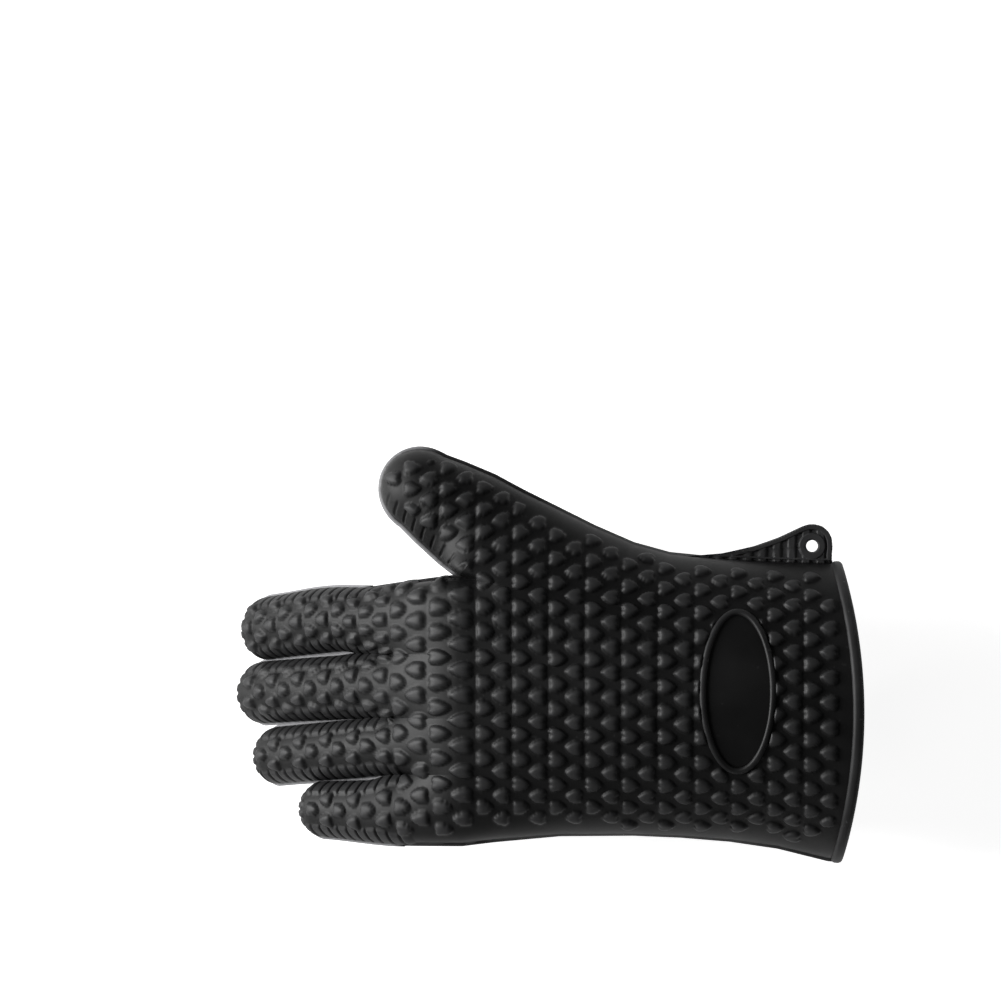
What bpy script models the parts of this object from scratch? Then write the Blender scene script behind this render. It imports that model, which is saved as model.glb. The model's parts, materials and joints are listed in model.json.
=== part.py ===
"""Heat resistant glove: one hollow silicone moulding, back of the hand up, fingers curled down."""
import math

import bpy
import numpy as np

# Lengths are in millimetres here and turned into metres as each mesh is made.
MM = 0.001
WALL = 2.0
HALF_GAP = 0.15
COLLAR_GAP = 0.9
CUFF_HALF_WIDTH = 59.2
CUFF_HALF_DEPTH = 38.0
RIM_AT_MIDDLE = -7.5
RIM_SAGITTA = 8.2

# Distance from the cuff towards the fingertips, and how far the hand has curled down there.
CURL_AT = (-30.0, 143.0, 158.0, 166.0, 175.5, 185.5, 218.0, 252.0, 290.0)
CURL_DEG = (0.0, 0.0, 15.0, 25.0, 33.0, 40.0, 44.5, 55.0, 58.0)
DEPTH_AT = (-12.0, 20.0, 60.0, 100.0, 130.0, 148.8, 170.0, 190.0)
DEPTH_SHARE = (1.0, 0.97, 0.88, 0.77, 0.66, 0.57, 0.45, 0.36)
UPPER_AT = (-8.0, 26.0, 52.4, 66.0, 80.4, 96.0, 110.0, 124.8)
UPPER_Y = (59.2, 60.0, 61.4, 62.8, 66.8, 73.6, 80.6, 88.0)
LOWER_AT = (-8.0, 2.4, 22.4, 41.6, 61.2, 80.4, 109.6, 136.0, 148.8)
LOWER_Y = (-59.2, -58.4, -53.4, -50.6, -49.0, -48.2, -48.4, -50.8, -52.4)

# Where the thumb leaves the hand, its direction in plan, and its widths along its length.
THUMB_CROTCH = (148.8, 54.0)
THUMB_OUTER = (124.8, 88.0)
THUMB_ANGLE_DEG = 32.7
THUMB_TILT_DEG = 15.0
THUMB_WIDTH_AT = (0.0, 12.0, 24.7, 33.0, 60.0)
THUMB_HALF_WIDTH = (20.8, 19.8, 17.6, 15.8, 15.8)
THUMB_HALF_DEPTH = 14.6
THUMB_TIP_AT = 33.0
THUMB_TIP_LENGTH = 17.0

# Edges of the four fingers where they leave the hand, from the little finger to the index.
ROOT_EDGES = (-52.4, -25.0, -2.4, 23.2, 54.0)
WEB_NEAR = 173.0
WEB_FAR = 189.0
FINGERS = {
    "little": {"half": 11.0, "slope": -0.014, "tip": 215.0, "root": 185.0, "middle": 204.5},
    "ring": {"half": 11.3, "slope": -0.068, "tip": 242.4, "root": 197.5, "middle": 224.0},
    "middle": {"half": 12.3, "slope": -0.051, "tip": 252.0, "root": 202.0, "middle": 230.0},
    "index": {"half": 12.5, "slope": -0.091, "tip": 248.5, "root": 202.0, "middle": 228.5},
}
FINGER_DEPTH_SHARE = 0.98

# Half widths of each flex band, and the angles its wedge leaves free to the palm and to the back.
BAND_HALF = 1.9
ROOT_WEDGE_DEG = (32.0, 17.0)
MIDDLE_WEDGE_DEG = (34.0, 7.0)
THUMB_ROOT_AT = 11.0
THUMB_MIDDLE_AT = 30.0
THUMB_WEDGE_DEG = (22.0, 9.0)

BEAD_RADIUS = 1.6
BEAD_INSET = 0.4
BEAD_GAP = 0.3
BADGE_CENTRE = (38.9, 8.5)
BADGE_HALF_LENGTH = 14.0
BADGE_HALF_WIDTH = 31.6
BADGE_RIM_HALF = 1.05
BADGE_RIM_HEIGHT = 1.2
BADGE_GAP = 0.35

TAB_TOP = (
    (46.0, 63.1), (41.6, 64.0), (32.0, 66.4), (22.4, 69.8), (12.8, 74.3), (10.4, 75.1),
    (7.8, 75.2), (4.6, 74.3), (2.2, 72.2), (0.9, 69.6), (0.6, 66.0), (0.9, 62.0),
)
TAB_GAP = 0.35
TAB_HALF = 1.4
TAB_RIM_HALF = 2.3
TAB_RIM_WIDTH = 1.9
TAB_RIB_HALF = 2.0
TAB_RIB_WIDTH = 1.9
TAB_RIB_PITCH = 5.8
TAB_HOLE = (8.8, 66.4)
TAB_HOLE_RADIUS = 2.35
TAB_LAND_RADIUS = 5.0

# How finely each curve is divided.
LOBE_SIDES = 6
THUMB_SIDES = 8
HAND_ROWS = 15
WEB_ROWS = 6
BEAD_SIDES = 8
BEAD_STEPS = 56
BADGE_STEPS = 40

for old in list(bpy.data.objects):
    bpy.data.objects.remove(old, do_unlink=True)


def smooth(t):
    t = np.clip(t, 0.0, 1.0)
    return t * t * (3.0 - 2.0 * t)


# The curled line of the hand, summed in short steps from the cuff.
STEPS = np.linspace(-30.0, 290.0, 3201)
TILTS = np.radians(np.interp(STEPS, CURL_AT, CURL_DEG))
MIDS = (TILTS[1:] + TILTS[:-1]) / 2
LINE_X = np.concatenate([[0.0], -np.cumsum(np.cos(MIDS) * np.diff(STEPS))]) + 30.0
LINE_Z = np.concatenate([[0.0], -np.cumsum(np.sin(MIDS) * np.diff(STEPS))])


def bend(s, y, z):
    """Flat place (distance from the cuff, across, height) to the curled hand; also the way up."""
    tilt = np.radians(np.interp(s, CURL_AT, CURL_DEG))
    up = np.stack([-np.sin(tilt), np.zeros_like(tilt), np.cos(tilt)], axis=-1)
    spine = np.stack([np.interp(s, STEPS, LINE_X), y, np.interp(s, STEPS, LINE_Z)], axis=-1)
    return spine + up * np.asarray(z)[..., None], up


def half_depth(s):
    return CUFF_HALF_DEPTH * np.interp(s, DEPTH_AT, DEPTH_SHARE)


def web_line(y):
    """How far from the cuff the hand divides into fingers, at this place across it."""
    return WEB_NEAR + (WEB_FAR - WEB_NEAR) * smooth((y + 30.0) / 42.0)


def rim_line(y):
    return RIM_AT_MIDDLE + RIM_SAGITTA * (y / CUFF_HALF_WIDTH) ** 2


def lobe_angles(count):
    return np.linspace(math.pi, 0.0, count + 1)


def oval(eta, power=2.3):
    return np.maximum(0.0, 1.0 - np.abs(eta) ** power) ** (1.0 / power)


def hand_plan():
    """Columns across the division line: four finger lobes, then the thumb lobe."""
    across = []
    for low, high in zip(ROOT_EDGES[:-1], ROOT_EDGES[1:]):
        part = (low + high) / 2 + (high - low) / 2 * np.cos(lobe_angles(LOBE_SIDES))
        across.append(part[1:] if across else part)
    across = np.concatenate(across)
    fingers = np.stack([np.full_like(across, THUMB_CROTCH[0]), across], axis=-1)
    share = (1.0 + np.cos(lobe_angles(THUMB_SIDES)))[1:, None] / 2
    thumb = np.array(THUMB_CROTCH) * (1 - share) + np.array(THUMB_OUTER) * share
    return np.concatenate([fingers, thumb])


def palm_block():
    """Flat places and heights from the cuff rim to the line where the thumb leaves."""
    last = hand_plan()
    columns = len(last)
    angle = np.linspace(math.pi, 0.0, columns)
    rim_y = CUFF_HALF_WIDTH * np.cos(angle)
    first = np.stack([rim_line(rim_y), rim_y], axis=-1)
    t = np.linspace(0.0, 1.0, HAND_ROWS + 1)
    low_s = first[0, 0] + (last[0, 0] - first[0, 0]) * t
    high_s = first[-1, 0] + (last[-1, 0] - first[-1, 0]) * t
    low = np.stack([low_s, np.interp(low_s, LOWER_AT, LOWER_Y)], axis=-1)
    high = np.stack([high_s, np.interp(high_s, UPPER_AT, UPPER_Y)], axis=-1)
    u = np.linspace(0.0, 1.0, columns)[None, :, None]
    v = t[:, None, None]
    plan = (1 - v) * first[None] + v * last[None] + (1 - u) * low[:, None] + u * high[:, None]
    corners = (1 - u) * (1 - v) * first[0] + u * (1 - v) * first[-1]
    plan = plan - corners - (1 - u) * v * last[0] - u * v * last[-1]
    run = np.linalg.norm(np.diff(plan, axis=1), axis=-1)
    run = np.concatenate([np.zeros((len(t), 1)), np.cumsum(run, axis=1)], axis=1)
    eta = 2 * run / run[:, -1:] - 1
    eta_cuff = -np.cos(np.linspace(0.0, math.pi, columns))[None]
    eta = eta_cuff * (1 - smooth(t * 3)[:, None]) + eta * smooth(t * 3)[:, None]
    power = 2.0 + 0.3 * smooth(t)[:, None]
    depth = half_depth(first[0, 0] + (last[0, 0] - first[0, 0]) * t)[:, None]
    crotch = 4 * LOBE_SIDES
    place = np.arange(columns)
    inner = np.clip(2 * (last[:, 1] - ROOT_EDGES[0]) / (THUMB_CROTCH[1] - ROOT_EDGES[0]) - 1, -1, 1)
    outer = np.clip(np.cos(math.pi * (place - crotch) / THUMB_SIDES), 0, 1)
    dip = np.where(place <= crotch, 1 - np.clip(inner, 0, 1) ** 6, 1 - outer**4)
    reach = np.clip((plan[:, crotch, 0] - 98.0) / (THUMB_CROTCH[0] - 98.0), 0, 1)[:, None]
    valley = np.sqrt(dip + (1 - dip) * (1 - reach**2) ** 1.4)
    return plan, depth * oval(eta, power) * valley


def web_block(edge_height):
    """From the thumb line to the line where the fingers divide, with a valley between each pair."""
    plan = hand_plan()[: 4 * LOBE_SIDES + 1]
    t = np.linspace(0.0, 1.0, WEB_ROWS + 1)[:, None]
    s = THUMB_CROTCH[0] + (web_line(plan[:, 1])[None] - THUMB_CROTCH[0]) * t
    place = np.arange(len(plan))
    lobe = np.minimum(place // LOBE_SIDES, 3)
    ridge = np.sin(math.pi * (place - lobe * LOBE_SIDES) / LOBE_SIDES)
    outside = (place < LOBE_SIDES / 2) | (place > 3.5 * LOBE_SIDES)
    end = np.where(outside, ridge, 1.0)
    ridge = np.where(outside, 1.0, ridge)
    full = np.array([finger["half"] for finger in FINGERS.values()]) * FINGER_DEPTH_SHARE
    centres = (np.array(ROOT_EDGES[:-1]) + np.array(ROOT_EDGES[1:])) / 2
    height = np.interp(plan[:, 1], centres, full)
    ratio = half_depth(s) / half_depth(THUMB_CROTCH[0])
    mix = smooth(t)
    base = (1 - mix) * edge_height[None] * ratio + mix * (height * end)[None]
    valley = np.sqrt(ridge**2 + (1 - ridge**2) * (1 - t**2) ** 1.4)
    return s, np.broadcast_to(plan[None, :, 1], s.shape), base * valley


def finger_size(name, s):
    """Centre across, half width and half depth of a finger at this distance from the cuff."""
    number = list(FINGERS).index(name)
    finger = FINGERS[name]
    low, high = ROOT_EDGES[number], ROOT_EDGES[number + 1]
    start = web_line((low + high) / 2)
    settle = smooth((s - start) / 12.0)
    half = (high - low) / 2 * (1 - settle) + finger["half"] * settle
    half = half - 0.5 * smooth((s - start) / (finger["tip"] - start))
    depth = finger["half"] * FINGER_DEPTH_SHARE - 0.4 * smooth((s - start) / (finger["tip"] - start))
    radius = finger["half"] - 0.5
    tip = np.sqrt(np.clip(1 - (np.maximum(s - finger["tip"], 0) / radius) ** 2, 0, 1))
    return (low + high) / 2 + finger["slope"] * (s - start), half * tip, depth * tip


def wedge(angle, wedge_deg, depth):
    """How far a flex band's edge stands from its joint line, round a section."""
    z = depth * np.sin(angle)
    down, up = np.tan(np.radians(wedge_deg))
    return BAND_HALF + np.where(z < 0, -z * down, z * up)


def finger_rows(name, angle, begin, end, count):
    """Rows of a finger's tube between two lines, given as distances for each angle."""
    t = np.linspace(0.0, 1.0, count + 1)[:, None]
    s = begin[None] + (end - begin)[None] * t
    centre, half, depth = finger_size(name, s)
    return bend(s, centre + half * np.cos(angle), depth * np.sin(angle))


def collar_rows(name, side, joint_gap):
    """The short length of finger that belongs to the hand, out to its first flex band."""
    number = list(FINGERS).index(name)
    angle = lobe_angles(LOBE_SIDES)
    low, high = ROOT_EDGES[number], ROOT_EDGES[number + 1]
    y_root = (low + high) / 2 + (high - low) / 2 * np.cos(angle)
    depth_root = FINGERS[name]["half"] * FINGER_DEPTH_SHARE
    begin = web_line(y_root)
    reach = wedge(angle * side, ROOT_WEDGE_DEG, depth_root)
    end = FINGERS[name]["root"] - reach - joint_gap
    t = np.linspace(0.0, 1.0, 3)[:, None]
    s = begin[None] + (end - begin)[None] * t
    centre, half, depth = finger_size(name, s)
    settle = smooth((s - begin[None]) / 8.0)
    y = y_root[None] * (1 - settle) + (centre + half * np.cos(angle)) * settle
    return s, y, depth, settle, angle


def thumb_frame(t):
    """Spine of the thumb, its way across and its way up, at this distance from its root."""
    lean = math.radians(THUMB_ANGLE_DEG)
    along = np.array([-math.cos(lean), math.sin(lean), 0.0])
    across = np.array([math.sin(lean), math.cos(lean), 0.0])
    t = np.asarray(t, float)
    tilt = math.radians(THUMB_TILT_DEG) * smooth(t / 24.0)
    drop = math.radians(THUMB_TILT_DEG) * np.where(t < 24, np.maximum(t, 0) * 0.5, t - 12.0)
    middle = np.array([-(THUMB_CROTCH[0] + THUMB_OUTER[0]) / 2, (THUMB_CROTCH[1] + THUMB_OUTER[1]) / 2, 0])
    spine = middle + along * (t * math.cos(math.radians(THUMB_TILT_DEG) * 0.6))[..., None]
    spine = spine - np.array([0, 0, 1.0]) * drop[..., None]
    up = np.array([0, 0, 1.0]) * np.cos(tilt)[..., None] + along * np.sin(tilt)[..., None]
    return spine, np.broadcast_to(across, spine.shape), up


def thumb_rows(angle, t, root_line, root_height):
    """Rows of the thumb's tube; near its root it takes the shape of the hand's edge."""
    spine, across, up = thumb_frame(t)
    half = np.interp(t, THUMB_WIDTH_AT, THUMB_HALF_WIDTH)
    tip = np.sqrt(np.clip(1 - (np.maximum(t - THUMB_TIP_AT, 0) / THUMB_TIP_LENGTH) ** 2, 0, 1))
    settle = smooth(t / 16.0)
    round_height = THUMB_HALF_DEPTH * np.sin(angle)
    height = (1 - settle) * root_height + settle * round_height
    place = spine + across * (half * tip * np.cos(angle))[..., None] + up * (height * tip)[..., None]
    ground, across0, up0 = thumb_frame(np.zeros_like(t))
    home = ground + across0 * (THUMB_HALF_WIDTH[0] * np.cos(angle))[..., None] + up0 * root_height[..., None]
    fade = 1 - smooth(t / 12.0)
    return place + (root_line - home) * fade[..., None], up


def grid_faces(rows, columns, first=0):
    index = first + np.arange(rows * columns).reshape(rows, columns)
    quads = np.stack([index[:-1, :-1], index[:-1, 1:], index[1:, 1:], index[1:, :-1]], axis=-1)
    return quads.reshape(-1, 4)


def weld(points, quads):
    """One point for each place, and triangles for any quad that has collapsed."""
    _, first, index = np.unique(np.round(points, 5), axis=0, return_index=True, return_inverse=True)
    quads = index.reshape(-1)[quads]
    faces = []
    for quad in quads:
        kept = [int(p) for k, p in enumerate(quad) if p != quad[k - 1]]
        if len(kept) > 2:
            faces.append(kept)
    return points[first], faces, index.reshape(-1)


def point_normals(points, faces):
    normals = np.zeros_like(points)
    for face in faces:
        corner = points[face]
        area = np.zeros(3)
        for k in range(1, len(face) - 1):
            area += np.cross(corner[k] - corner[0], corner[k + 1] - corner[0])
        normals[face] += area
    return normals / np.linalg.norm(normals, axis=1)[:, None]


def open_edges(faces):
    """Edges that belong to one face only, each in its own face's direction."""
    seen = {}
    for face in faces:
        for k in range(len(face)):
            a, b = face[k - 1], face[k]
            seen[(a, b)] = seen.get((a, b), 0) + 1
    return [edge for edge in seen if (edge[1], edge[0]) not in seen]


def thicken(points, faces, normals, wall):
    """A closed wall: the skin, the same skin moved inwards, and a strip along each open edge."""
    count = len(points)
    inner = points - normals * wall
    closed = [list(face) for face in faces]
    closed += [[p + count for p in reversed(face)] for face in faces]
    closed += [[b, a, a + count, b + count] for a, b in open_edges(faces)]
    return np.concatenate([points, inner]), closed


# ---- the skin of the hand, as blocks for its back (side 1) and its palm (side -1) ----
def hand_blocks(side):
    blocks = []
    plan, height = palm_block()
    blocks.append(bend(plan[..., 0], plan[..., 1], side * height))
    crotch = 4 * LOBE_SIDES
    s, y, z = web_block(height[-1, : crotch + 1])
    blocks.append(bend(s, y, side * z))
    for number, name in enumerate(FINGERS):
        s_end, y_end, depth, settle, angle = collar_rows(name, side, COLLAR_GAP)
        root = z[-1, number * LOBE_SIDES : (number + 1) * LOBE_SIDES + 1][None]
        tall = root * (1 - settle) + depth * np.sin(angle) * settle
        blocks.append(bend(s_end, y_end, side * tall))
    angle = lobe_angles(THUMB_SIDES)
    root_height = side * height[-1, crotch:]
    root_line = bend(plan[-1, crotch:, 0], plan[-1, crotch:, 1], root_height)[0]
    end = THUMB_ROOT_AT - wedge(angle * side, THUMB_WEDGE_DEG, THUMB_HALF_DEPTH) - COLLAR_GAP
    t = np.linspace(0.0, 1.0, 3)[:, None] * end[None]
    rows = np.broadcast_to(angle * side, t.shape)
    heights = np.broadcast_to(root_height, t.shape)
    blocks.append(thumb_rows(rows, t, root_line[None], heights))
    return blocks


def gather(blocks, turned):
    points, ups, quads = [], [], []
    total = 0
    for place, up in blocks:
        rows, columns = place.shape[:2]
        faces = grid_faces(rows, columns, total)
        quads.append(faces[:, ::-1] if turned else faces)
        points.append(place.reshape(-1, 3))
        ups.append(np.broadcast_to(up, place.shape).reshape(-1, 3))
        total += rows * columns
    return np.concatenate(points), np.concatenate(ups), np.concatenate(quads)


SOLIDS = {}
ORIGINS = {}
back_points, back_ups, back_quads = gather(hand_blocks(1), turned=False)
palm_points, palm_ups, palm_quads = gather(hand_blocks(-1), turned=True)
both = np.concatenate([back_points, palm_points])
whole, whole_faces, whole_index = weld(both, np.concatenate([back_quads, palm_quads + len(back_points)]))
whole_normals = point_normals(whole, whole_faces)[whole_index]
for name, points, ups, quads, normals, side in (
    ("hand_back_shell", back_points, back_ups, back_quads, whole_normals[: len(back_points)], 1),
    ("hand_palm_shell", palm_points, palm_ups, palm_quads, whole_normals[len(back_points) :], -1),
):
    shared, faces, index = weld(points, quads)
    source = np.unique(index, return_index=True)[1]
    lifted = shared + ups[source] * HALF_GAP * side
    SOLIDS[name] = thicken(lifted, faces, normals[source], WALL)

# ---- fingers and thumb: flex band, base, flex band, tip ----
HINGES = {}


def add_tube(name, place):
    """A tube's wall from rows of points that go right round."""
    rows, columns = place.shape[:2]
    ring = np.concatenate([place, place[:, :1]], axis=1)
    points, faces, _ = weld(ring.reshape(-1, 3), grid_faces(rows, columns + 1))
    SOLIDS[name] = thicken(points, faces, point_normals(points, faces), WALL)


def outwards(place):
    """Turns the rows so that the tube's faces look away from its middle."""
    spine = place.mean(axis=1, keepdims=True)
    along = spine[-1, 0] - spine[0, 0]
    turn = np.cross(place[0, 0] - spine[0, 0], place[0, 1] - spine[0, 0])
    return place if np.dot(turn, along) > 0 else place[:, ::-1]


def add_joint(name, spine, along, up):
    axis = np.cross(up, along)
    HINGES[name] = (spine, axis / np.linalg.norm(axis))


ring_sides = 20
around = np.linspace(0.0, 2 * math.pi, ring_sides, endpoint=False) + math.pi / ring_sides
for name, finger in FINGERS.items():
    deep = finger["half"] * FINGER_DEPTH_SHARE
    root_reach = wedge(around, ROOT_WEDGE_DEG, deep)
    bend_reach = wedge(around, MIDDLE_WEDGE_DEG, deep - 0.2)
    first = (finger["root"] - root_reach + HALF_GAP, finger["root"] + root_reach - HALF_GAP)
    second = (finger["root"] + root_reach + HALF_GAP, finger["middle"] - bend_reach - HALF_GAP)
    third = (finger["middle"] - bend_reach + HALF_GAP, finger["middle"] + bend_reach - HALF_GAP)
    add_tube(name + "_root_band", outwards(finger_rows(name, around, *first, 2)[0]))
    add_tube(name + "_base", outwards(finger_rows(name, around, *second, 4)[0]))
    add_tube(name + "_middle_band", outwards(finger_rows(name, around, *third, 2)[0]))
    start = finger["middle"] + bend_reach + HALF_GAP
    stop = np.full(ring_sides, finger["tip"])
    straight = finger_rows(name, around, start, np.maximum(stop, start + 0.5), 3)[0]
    round_end = np.sin(np.linspace(0.0, math.pi / 2, 6))[1:, None]
    past = np.maximum(stop, start + 0.5)[None] + (finger["half"] - 0.5) * round_end
    past = np.minimum(past, finger["tip"] + finger["half"] - 0.5)
    past[-1] = finger["tip"] + finger["half"] - 0.5
    centre, half, depth = finger_size(name, past)
    half[-1] = 0.0
    depth[-1] = 0.0
    end = bend(past, centre + half * np.cos(around), depth * np.sin(around))[0]
    add_tube(name + "_tip", outwards(np.concatenate([straight, end])))
    for joint in ("root", "middle"):
        s = np.array(finger[joint])
        centre = finger_size(name, s)[0]
        spine, up = bend(s, centre, np.array(0.0))
        tilt = math.radians(float(np.interp(s, CURL_AT, CURL_DEG)))
        along = np.array([-math.cos(tilt), finger["slope"], -math.sin(tilt)])
        add_joint(name + "_" + joint, spine, along, up)
    ORIGINS[name + "_base"] = name + "_root"
    ORIGINS[name + "_root_band"] = name + "_root"
    ORIGINS[name + "_middle_band"] = name + "_middle"
    ORIGINS[name + "_tip"] = name + "_middle"


def thumb_tube(name, rows_t):
    rows = np.broadcast_to(around, rows_t.shape)
    height = np.interp(np.cos(around), root_across, root_tall) * np.sign(np.sin(around))
    flat = thumb_frame(np.zeros(1))
    home = flat[0] + flat[1] * (THUMB_HALF_WIDTH[0] * np.cos(around))[:, None]
    home = home + flat[2] * height[:, None]
    heights = np.broadcast_to(height, rows_t.shape)
    add_tube(name, outwards(thumb_rows(rows, rows_t, home[None], heights)[0]))


flat_plan, flat_height = palm_block()
root_across = np.cos(lobe_angles(THUMB_SIDES))
root_tall = flat_height[-1, 4 * LOBE_SIDES :]
reach = wedge(around, THUMB_WEDGE_DEG, THUMB_HALF_DEPTH)


def between(begin, end, count):
    return begin[None] + (end - begin)[None] * np.linspace(0.0, 1.0, count + 1)[:, None]


thumb_tube("thumb_root_band", between(THUMB_ROOT_AT - reach + HALF_GAP, THUMB_ROOT_AT + reach - HALF_GAP, 2))
thumb_tube("thumb_base", between(THUMB_ROOT_AT + reach + HALF_GAP, THUMB_MIDDLE_AT - reach - HALF_GAP, 3))
middle_span = (THUMB_MIDDLE_AT - reach + HALF_GAP, THUMB_MIDDLE_AT + reach - HALF_GAP)
thumb_tube("thumb_middle_band", between(*middle_span, 2))
thumb_end = THUMB_TIP_AT + THUMB_TIP_LENGTH
cap_start = THUMB_MIDDLE_AT + reach + HALF_GAP + 0.4
cap = cap_start[None] + (thumb_end - cap_start)[None] * np.sin(np.linspace(0.0, math.pi / 2, 8))[:, None]
cap = np.concatenate([cap[:1], cap[:1] + 1.2, cap[1:]])
thumb_tube("thumb_tip", cap)
for joint, place in (("thumb_root", THUMB_ROOT_AT), ("thumb_middle", THUMB_MIDDLE_AT)):
    spine, across, up = thumb_frame(np.array([place]))
    ahead = thumb_frame(np.array([place + 0.1]))[0]
    add_joint(joint, spine[0], (ahead - spine)[0], up[0])
ORIGINS["thumb_base"] = "thumb_root"
ORIGINS["thumb_root_band"] = "thumb_root"
ORIGINS["thumb_middle_band"] = "thumb_middle"
ORIGINS["thumb_tip"] = "thumb_middle"


# ---- bead round the cuff, and the two raised oval rims ----
def add_loop(name, centres, sideways, outward, section):
    """A closed bar: the same section at each step of a closed line."""
    steps = len(centres)
    place = centres[:, None] + sideways[:, None] * section[None, :, :1]
    place = place + outward[:, None] * section[None, :, 1:]
    sides = len(section)
    quads = []
    for i in range(steps):
        for j in range(sides):
            k = (i + 1) % steps
            m = (j + 1) % sides
            quads.append([i * sides + j, i * sides + m, k * sides + m, k * sides + j])
    points = place.reshape(-1, 3)
    corners = points[np.array(quads)]
    volume = np.einsum("ij,ij->", corners[:, 0], np.cross(corners[:, 1], corners[:, 2]))
    volume += np.einsum("ij,ij->", corners[:, 0], np.cross(corners[:, 2], corners[:, 3]))
    if volume < 0:
        quads = [quad[::-1] for quad in quads]
    SOLIDS[name] = (points, quads)


turn = np.linspace(0.0, 2 * math.pi, BEAD_STEPS, endpoint=False)
wide = CUFF_HALF_WIDTH - BEAD_INSET
tall = CUFF_HALF_DEPTH - BEAD_INSET
bead_line = np.stack(
    [BEAD_RADIUS + BEAD_GAP - rim_line(wide * np.cos(turn)), wide * np.cos(turn), tall * np.sin(turn)],
    axis=-1,
)
bead_out = np.stack([np.zeros_like(turn), np.cos(turn) / wide, np.sin(turn) / tall], axis=-1)
bead_out /= np.linalg.norm(bead_out, axis=1)[:, None]
bead_side = np.broadcast_to(np.array([1.0, 0.0, 0.0]), bead_line.shape)
corner = np.linspace(0.0, 2 * math.pi, BEAD_SIDES, endpoint=False) + math.pi / BEAD_SIDES
circle = BEAD_RADIUS * np.stack([np.cos(corner), np.sin(corner)], axis=-1)
add_loop("cuff_bead", bead_line, bead_side, bead_out, circle)


skin_plan, skin_tall = palm_block()


def tube_height(s, y):
    """Height of the hand's faceted skin above its middle plane at each of these flat places."""
    corners = np.concatenate([
        np.stack([skin_plan[:-1, :-1], skin_plan[:-1, 1:], skin_plan[1:, 1:]], axis=2).reshape(-1, 3, 2),
        np.stack([skin_plan[:-1, :-1], skin_plan[1:, 1:], skin_plan[1:, :-1]], axis=2).reshape(-1, 3, 2),
    ])
    tall = np.concatenate([
        np.stack([skin_tall[:-1, :-1], skin_tall[:-1, 1:], skin_tall[1:, 1:]], axis=2).reshape(-1, 3),
        np.stack([skin_tall[:-1, :-1], skin_tall[1:, 1:], skin_tall[1:, :-1]], axis=2).reshape(-1, 3),
    ])
    first = corners[:, 1] - corners[:, 0]
    second = corners[:, 2] - corners[:, 0]
    size = first[:, 0] * second[:, 1] - first[:, 1] * second[:, 0]
    found = []
    for place in np.stack([s, y], axis=-1):
        away = place - corners[:, 0]
        p = (away[:, 0] * second[:, 1] - away[:, 1] * second[:, 0]) / size
        q = (first[:, 0] * away[:, 1] - first[:, 1] * away[:, 0]) / size
        inside = (p >= -1e-6) & (q >= -1e-6) & (p + q <= 1 + 1e-6)
        level = tall[:, 0] + p * (tall[:, 1] - tall[:, 0]) + q * (tall[:, 2] - tall[:, 0])
        found.append(level[inside].max())
    return np.array(found)


oval_turn = np.linspace(0.0, 2 * math.pi, BADGE_STEPS, endpoint=False)
for name, side in (("back_badge_rim", 1), ("palm_badge_rim", -1)):
    level = []
    for away in (-1.2, 0.0, 1.2):
        s = BADGE_CENTRE[0] + (BADGE_HALF_LENGTH + away) * np.cos(oval_turn)
        y = BADGE_CENTRE[1] + (BADGE_HALF_WIDTH + away) * np.sin(oval_turn)
        level.append(np.stack([-s, y, side * (tube_height(s, y) + HALF_GAP)], axis=-1))
    base = level[1]
    tangent = np.roll(base, -1, axis=0) - np.roll(base, 1, axis=0)
    normal = np.cross(tangent, level[2] - level[0])
    normal *= np.where(normal[:, 2:] * side > 0, 1.0, -1.0)
    normal /= np.linalg.norm(normal, axis=1)[:, None]
    sideways = np.cross(tangent, normal)
    sideways /= np.linalg.norm(sideways, axis=1)[:, None]
    low = BADGE_GAP
    high = low + BADGE_RIM_HEIGHT
    half = BADGE_RIM_HALF
    profile = np.array([
        [-half, low], [half, low], [half, high - 0.4],
        [half * 0.45, high], [-half * 0.45, high], [-half, high - 0.4],
    ])
    add_loop(name, base, sideways, normal, profile)

# ---- pitch the glove so that its cuff and its fingertips stand on the floor ----
everything = np.concatenate([points for points, _ in SOLIDS.values()])


def tipped(points, angle):
    """Turns about the Y axis, so that the fingers rise."""
    c, s = math.cos(angle), math.sin(angle)
    x = points[:, 0] * c + points[:, 2] * s
    z = points[:, 2] * c - points[:, 0] * s
    return np.stack([x, points[:, 1], z], axis=-1)


near = everything[everything[:, 0] > -60]
far = everything[everything[:, 0] < -150]
lower, upper = 0.0, math.radians(25.0)
for _ in range(60):
    PITCH = (lower + upper) / 2
    if tipped(far, PITCH)[:, 2].min() < tipped(near, PITCH)[:, 2].min():
        lower = PITCH
    else:
        upper = PITCH
stood = tipped(everything, PITCH)
low, high = stood.min(axis=0), stood.max(axis=0)
SHIFT = np.array([-(low[0] + high[0]) / 2, -(low[1] + high[1]) / 2, -low[2]])


def stand(points):
    return tipped(np.atleast_2d(points), PITCH) + SHIFT


COLOURS = {
    "hand": (0.030, 0.030, 0.033),
    "finger": (0.036, 0.036, 0.040),
    "band": (0.022, 0.022, 0.025),
    "trim": (0.045, 0.045, 0.05),
}


def material_for(name):
    kind = "finger"
    if name.startswith("hand_"):
        kind = "hand"
    elif name.endswith("_band"):
        kind = "band"
    elif name.startswith(("cuff", "hang", "back", "palm")):
        kind = "trim"
    made = bpy.data.materials.new(name + "_silicone")
    made.use_nodes = True
    shader = made.node_tree.nodes["Principled BSDF"]
    shader.inputs["Base Color"].default_value = (*COLOURS[kind], 1.0)
    shader.inputs["Roughness"].default_value = 0.55
    return made


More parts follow.
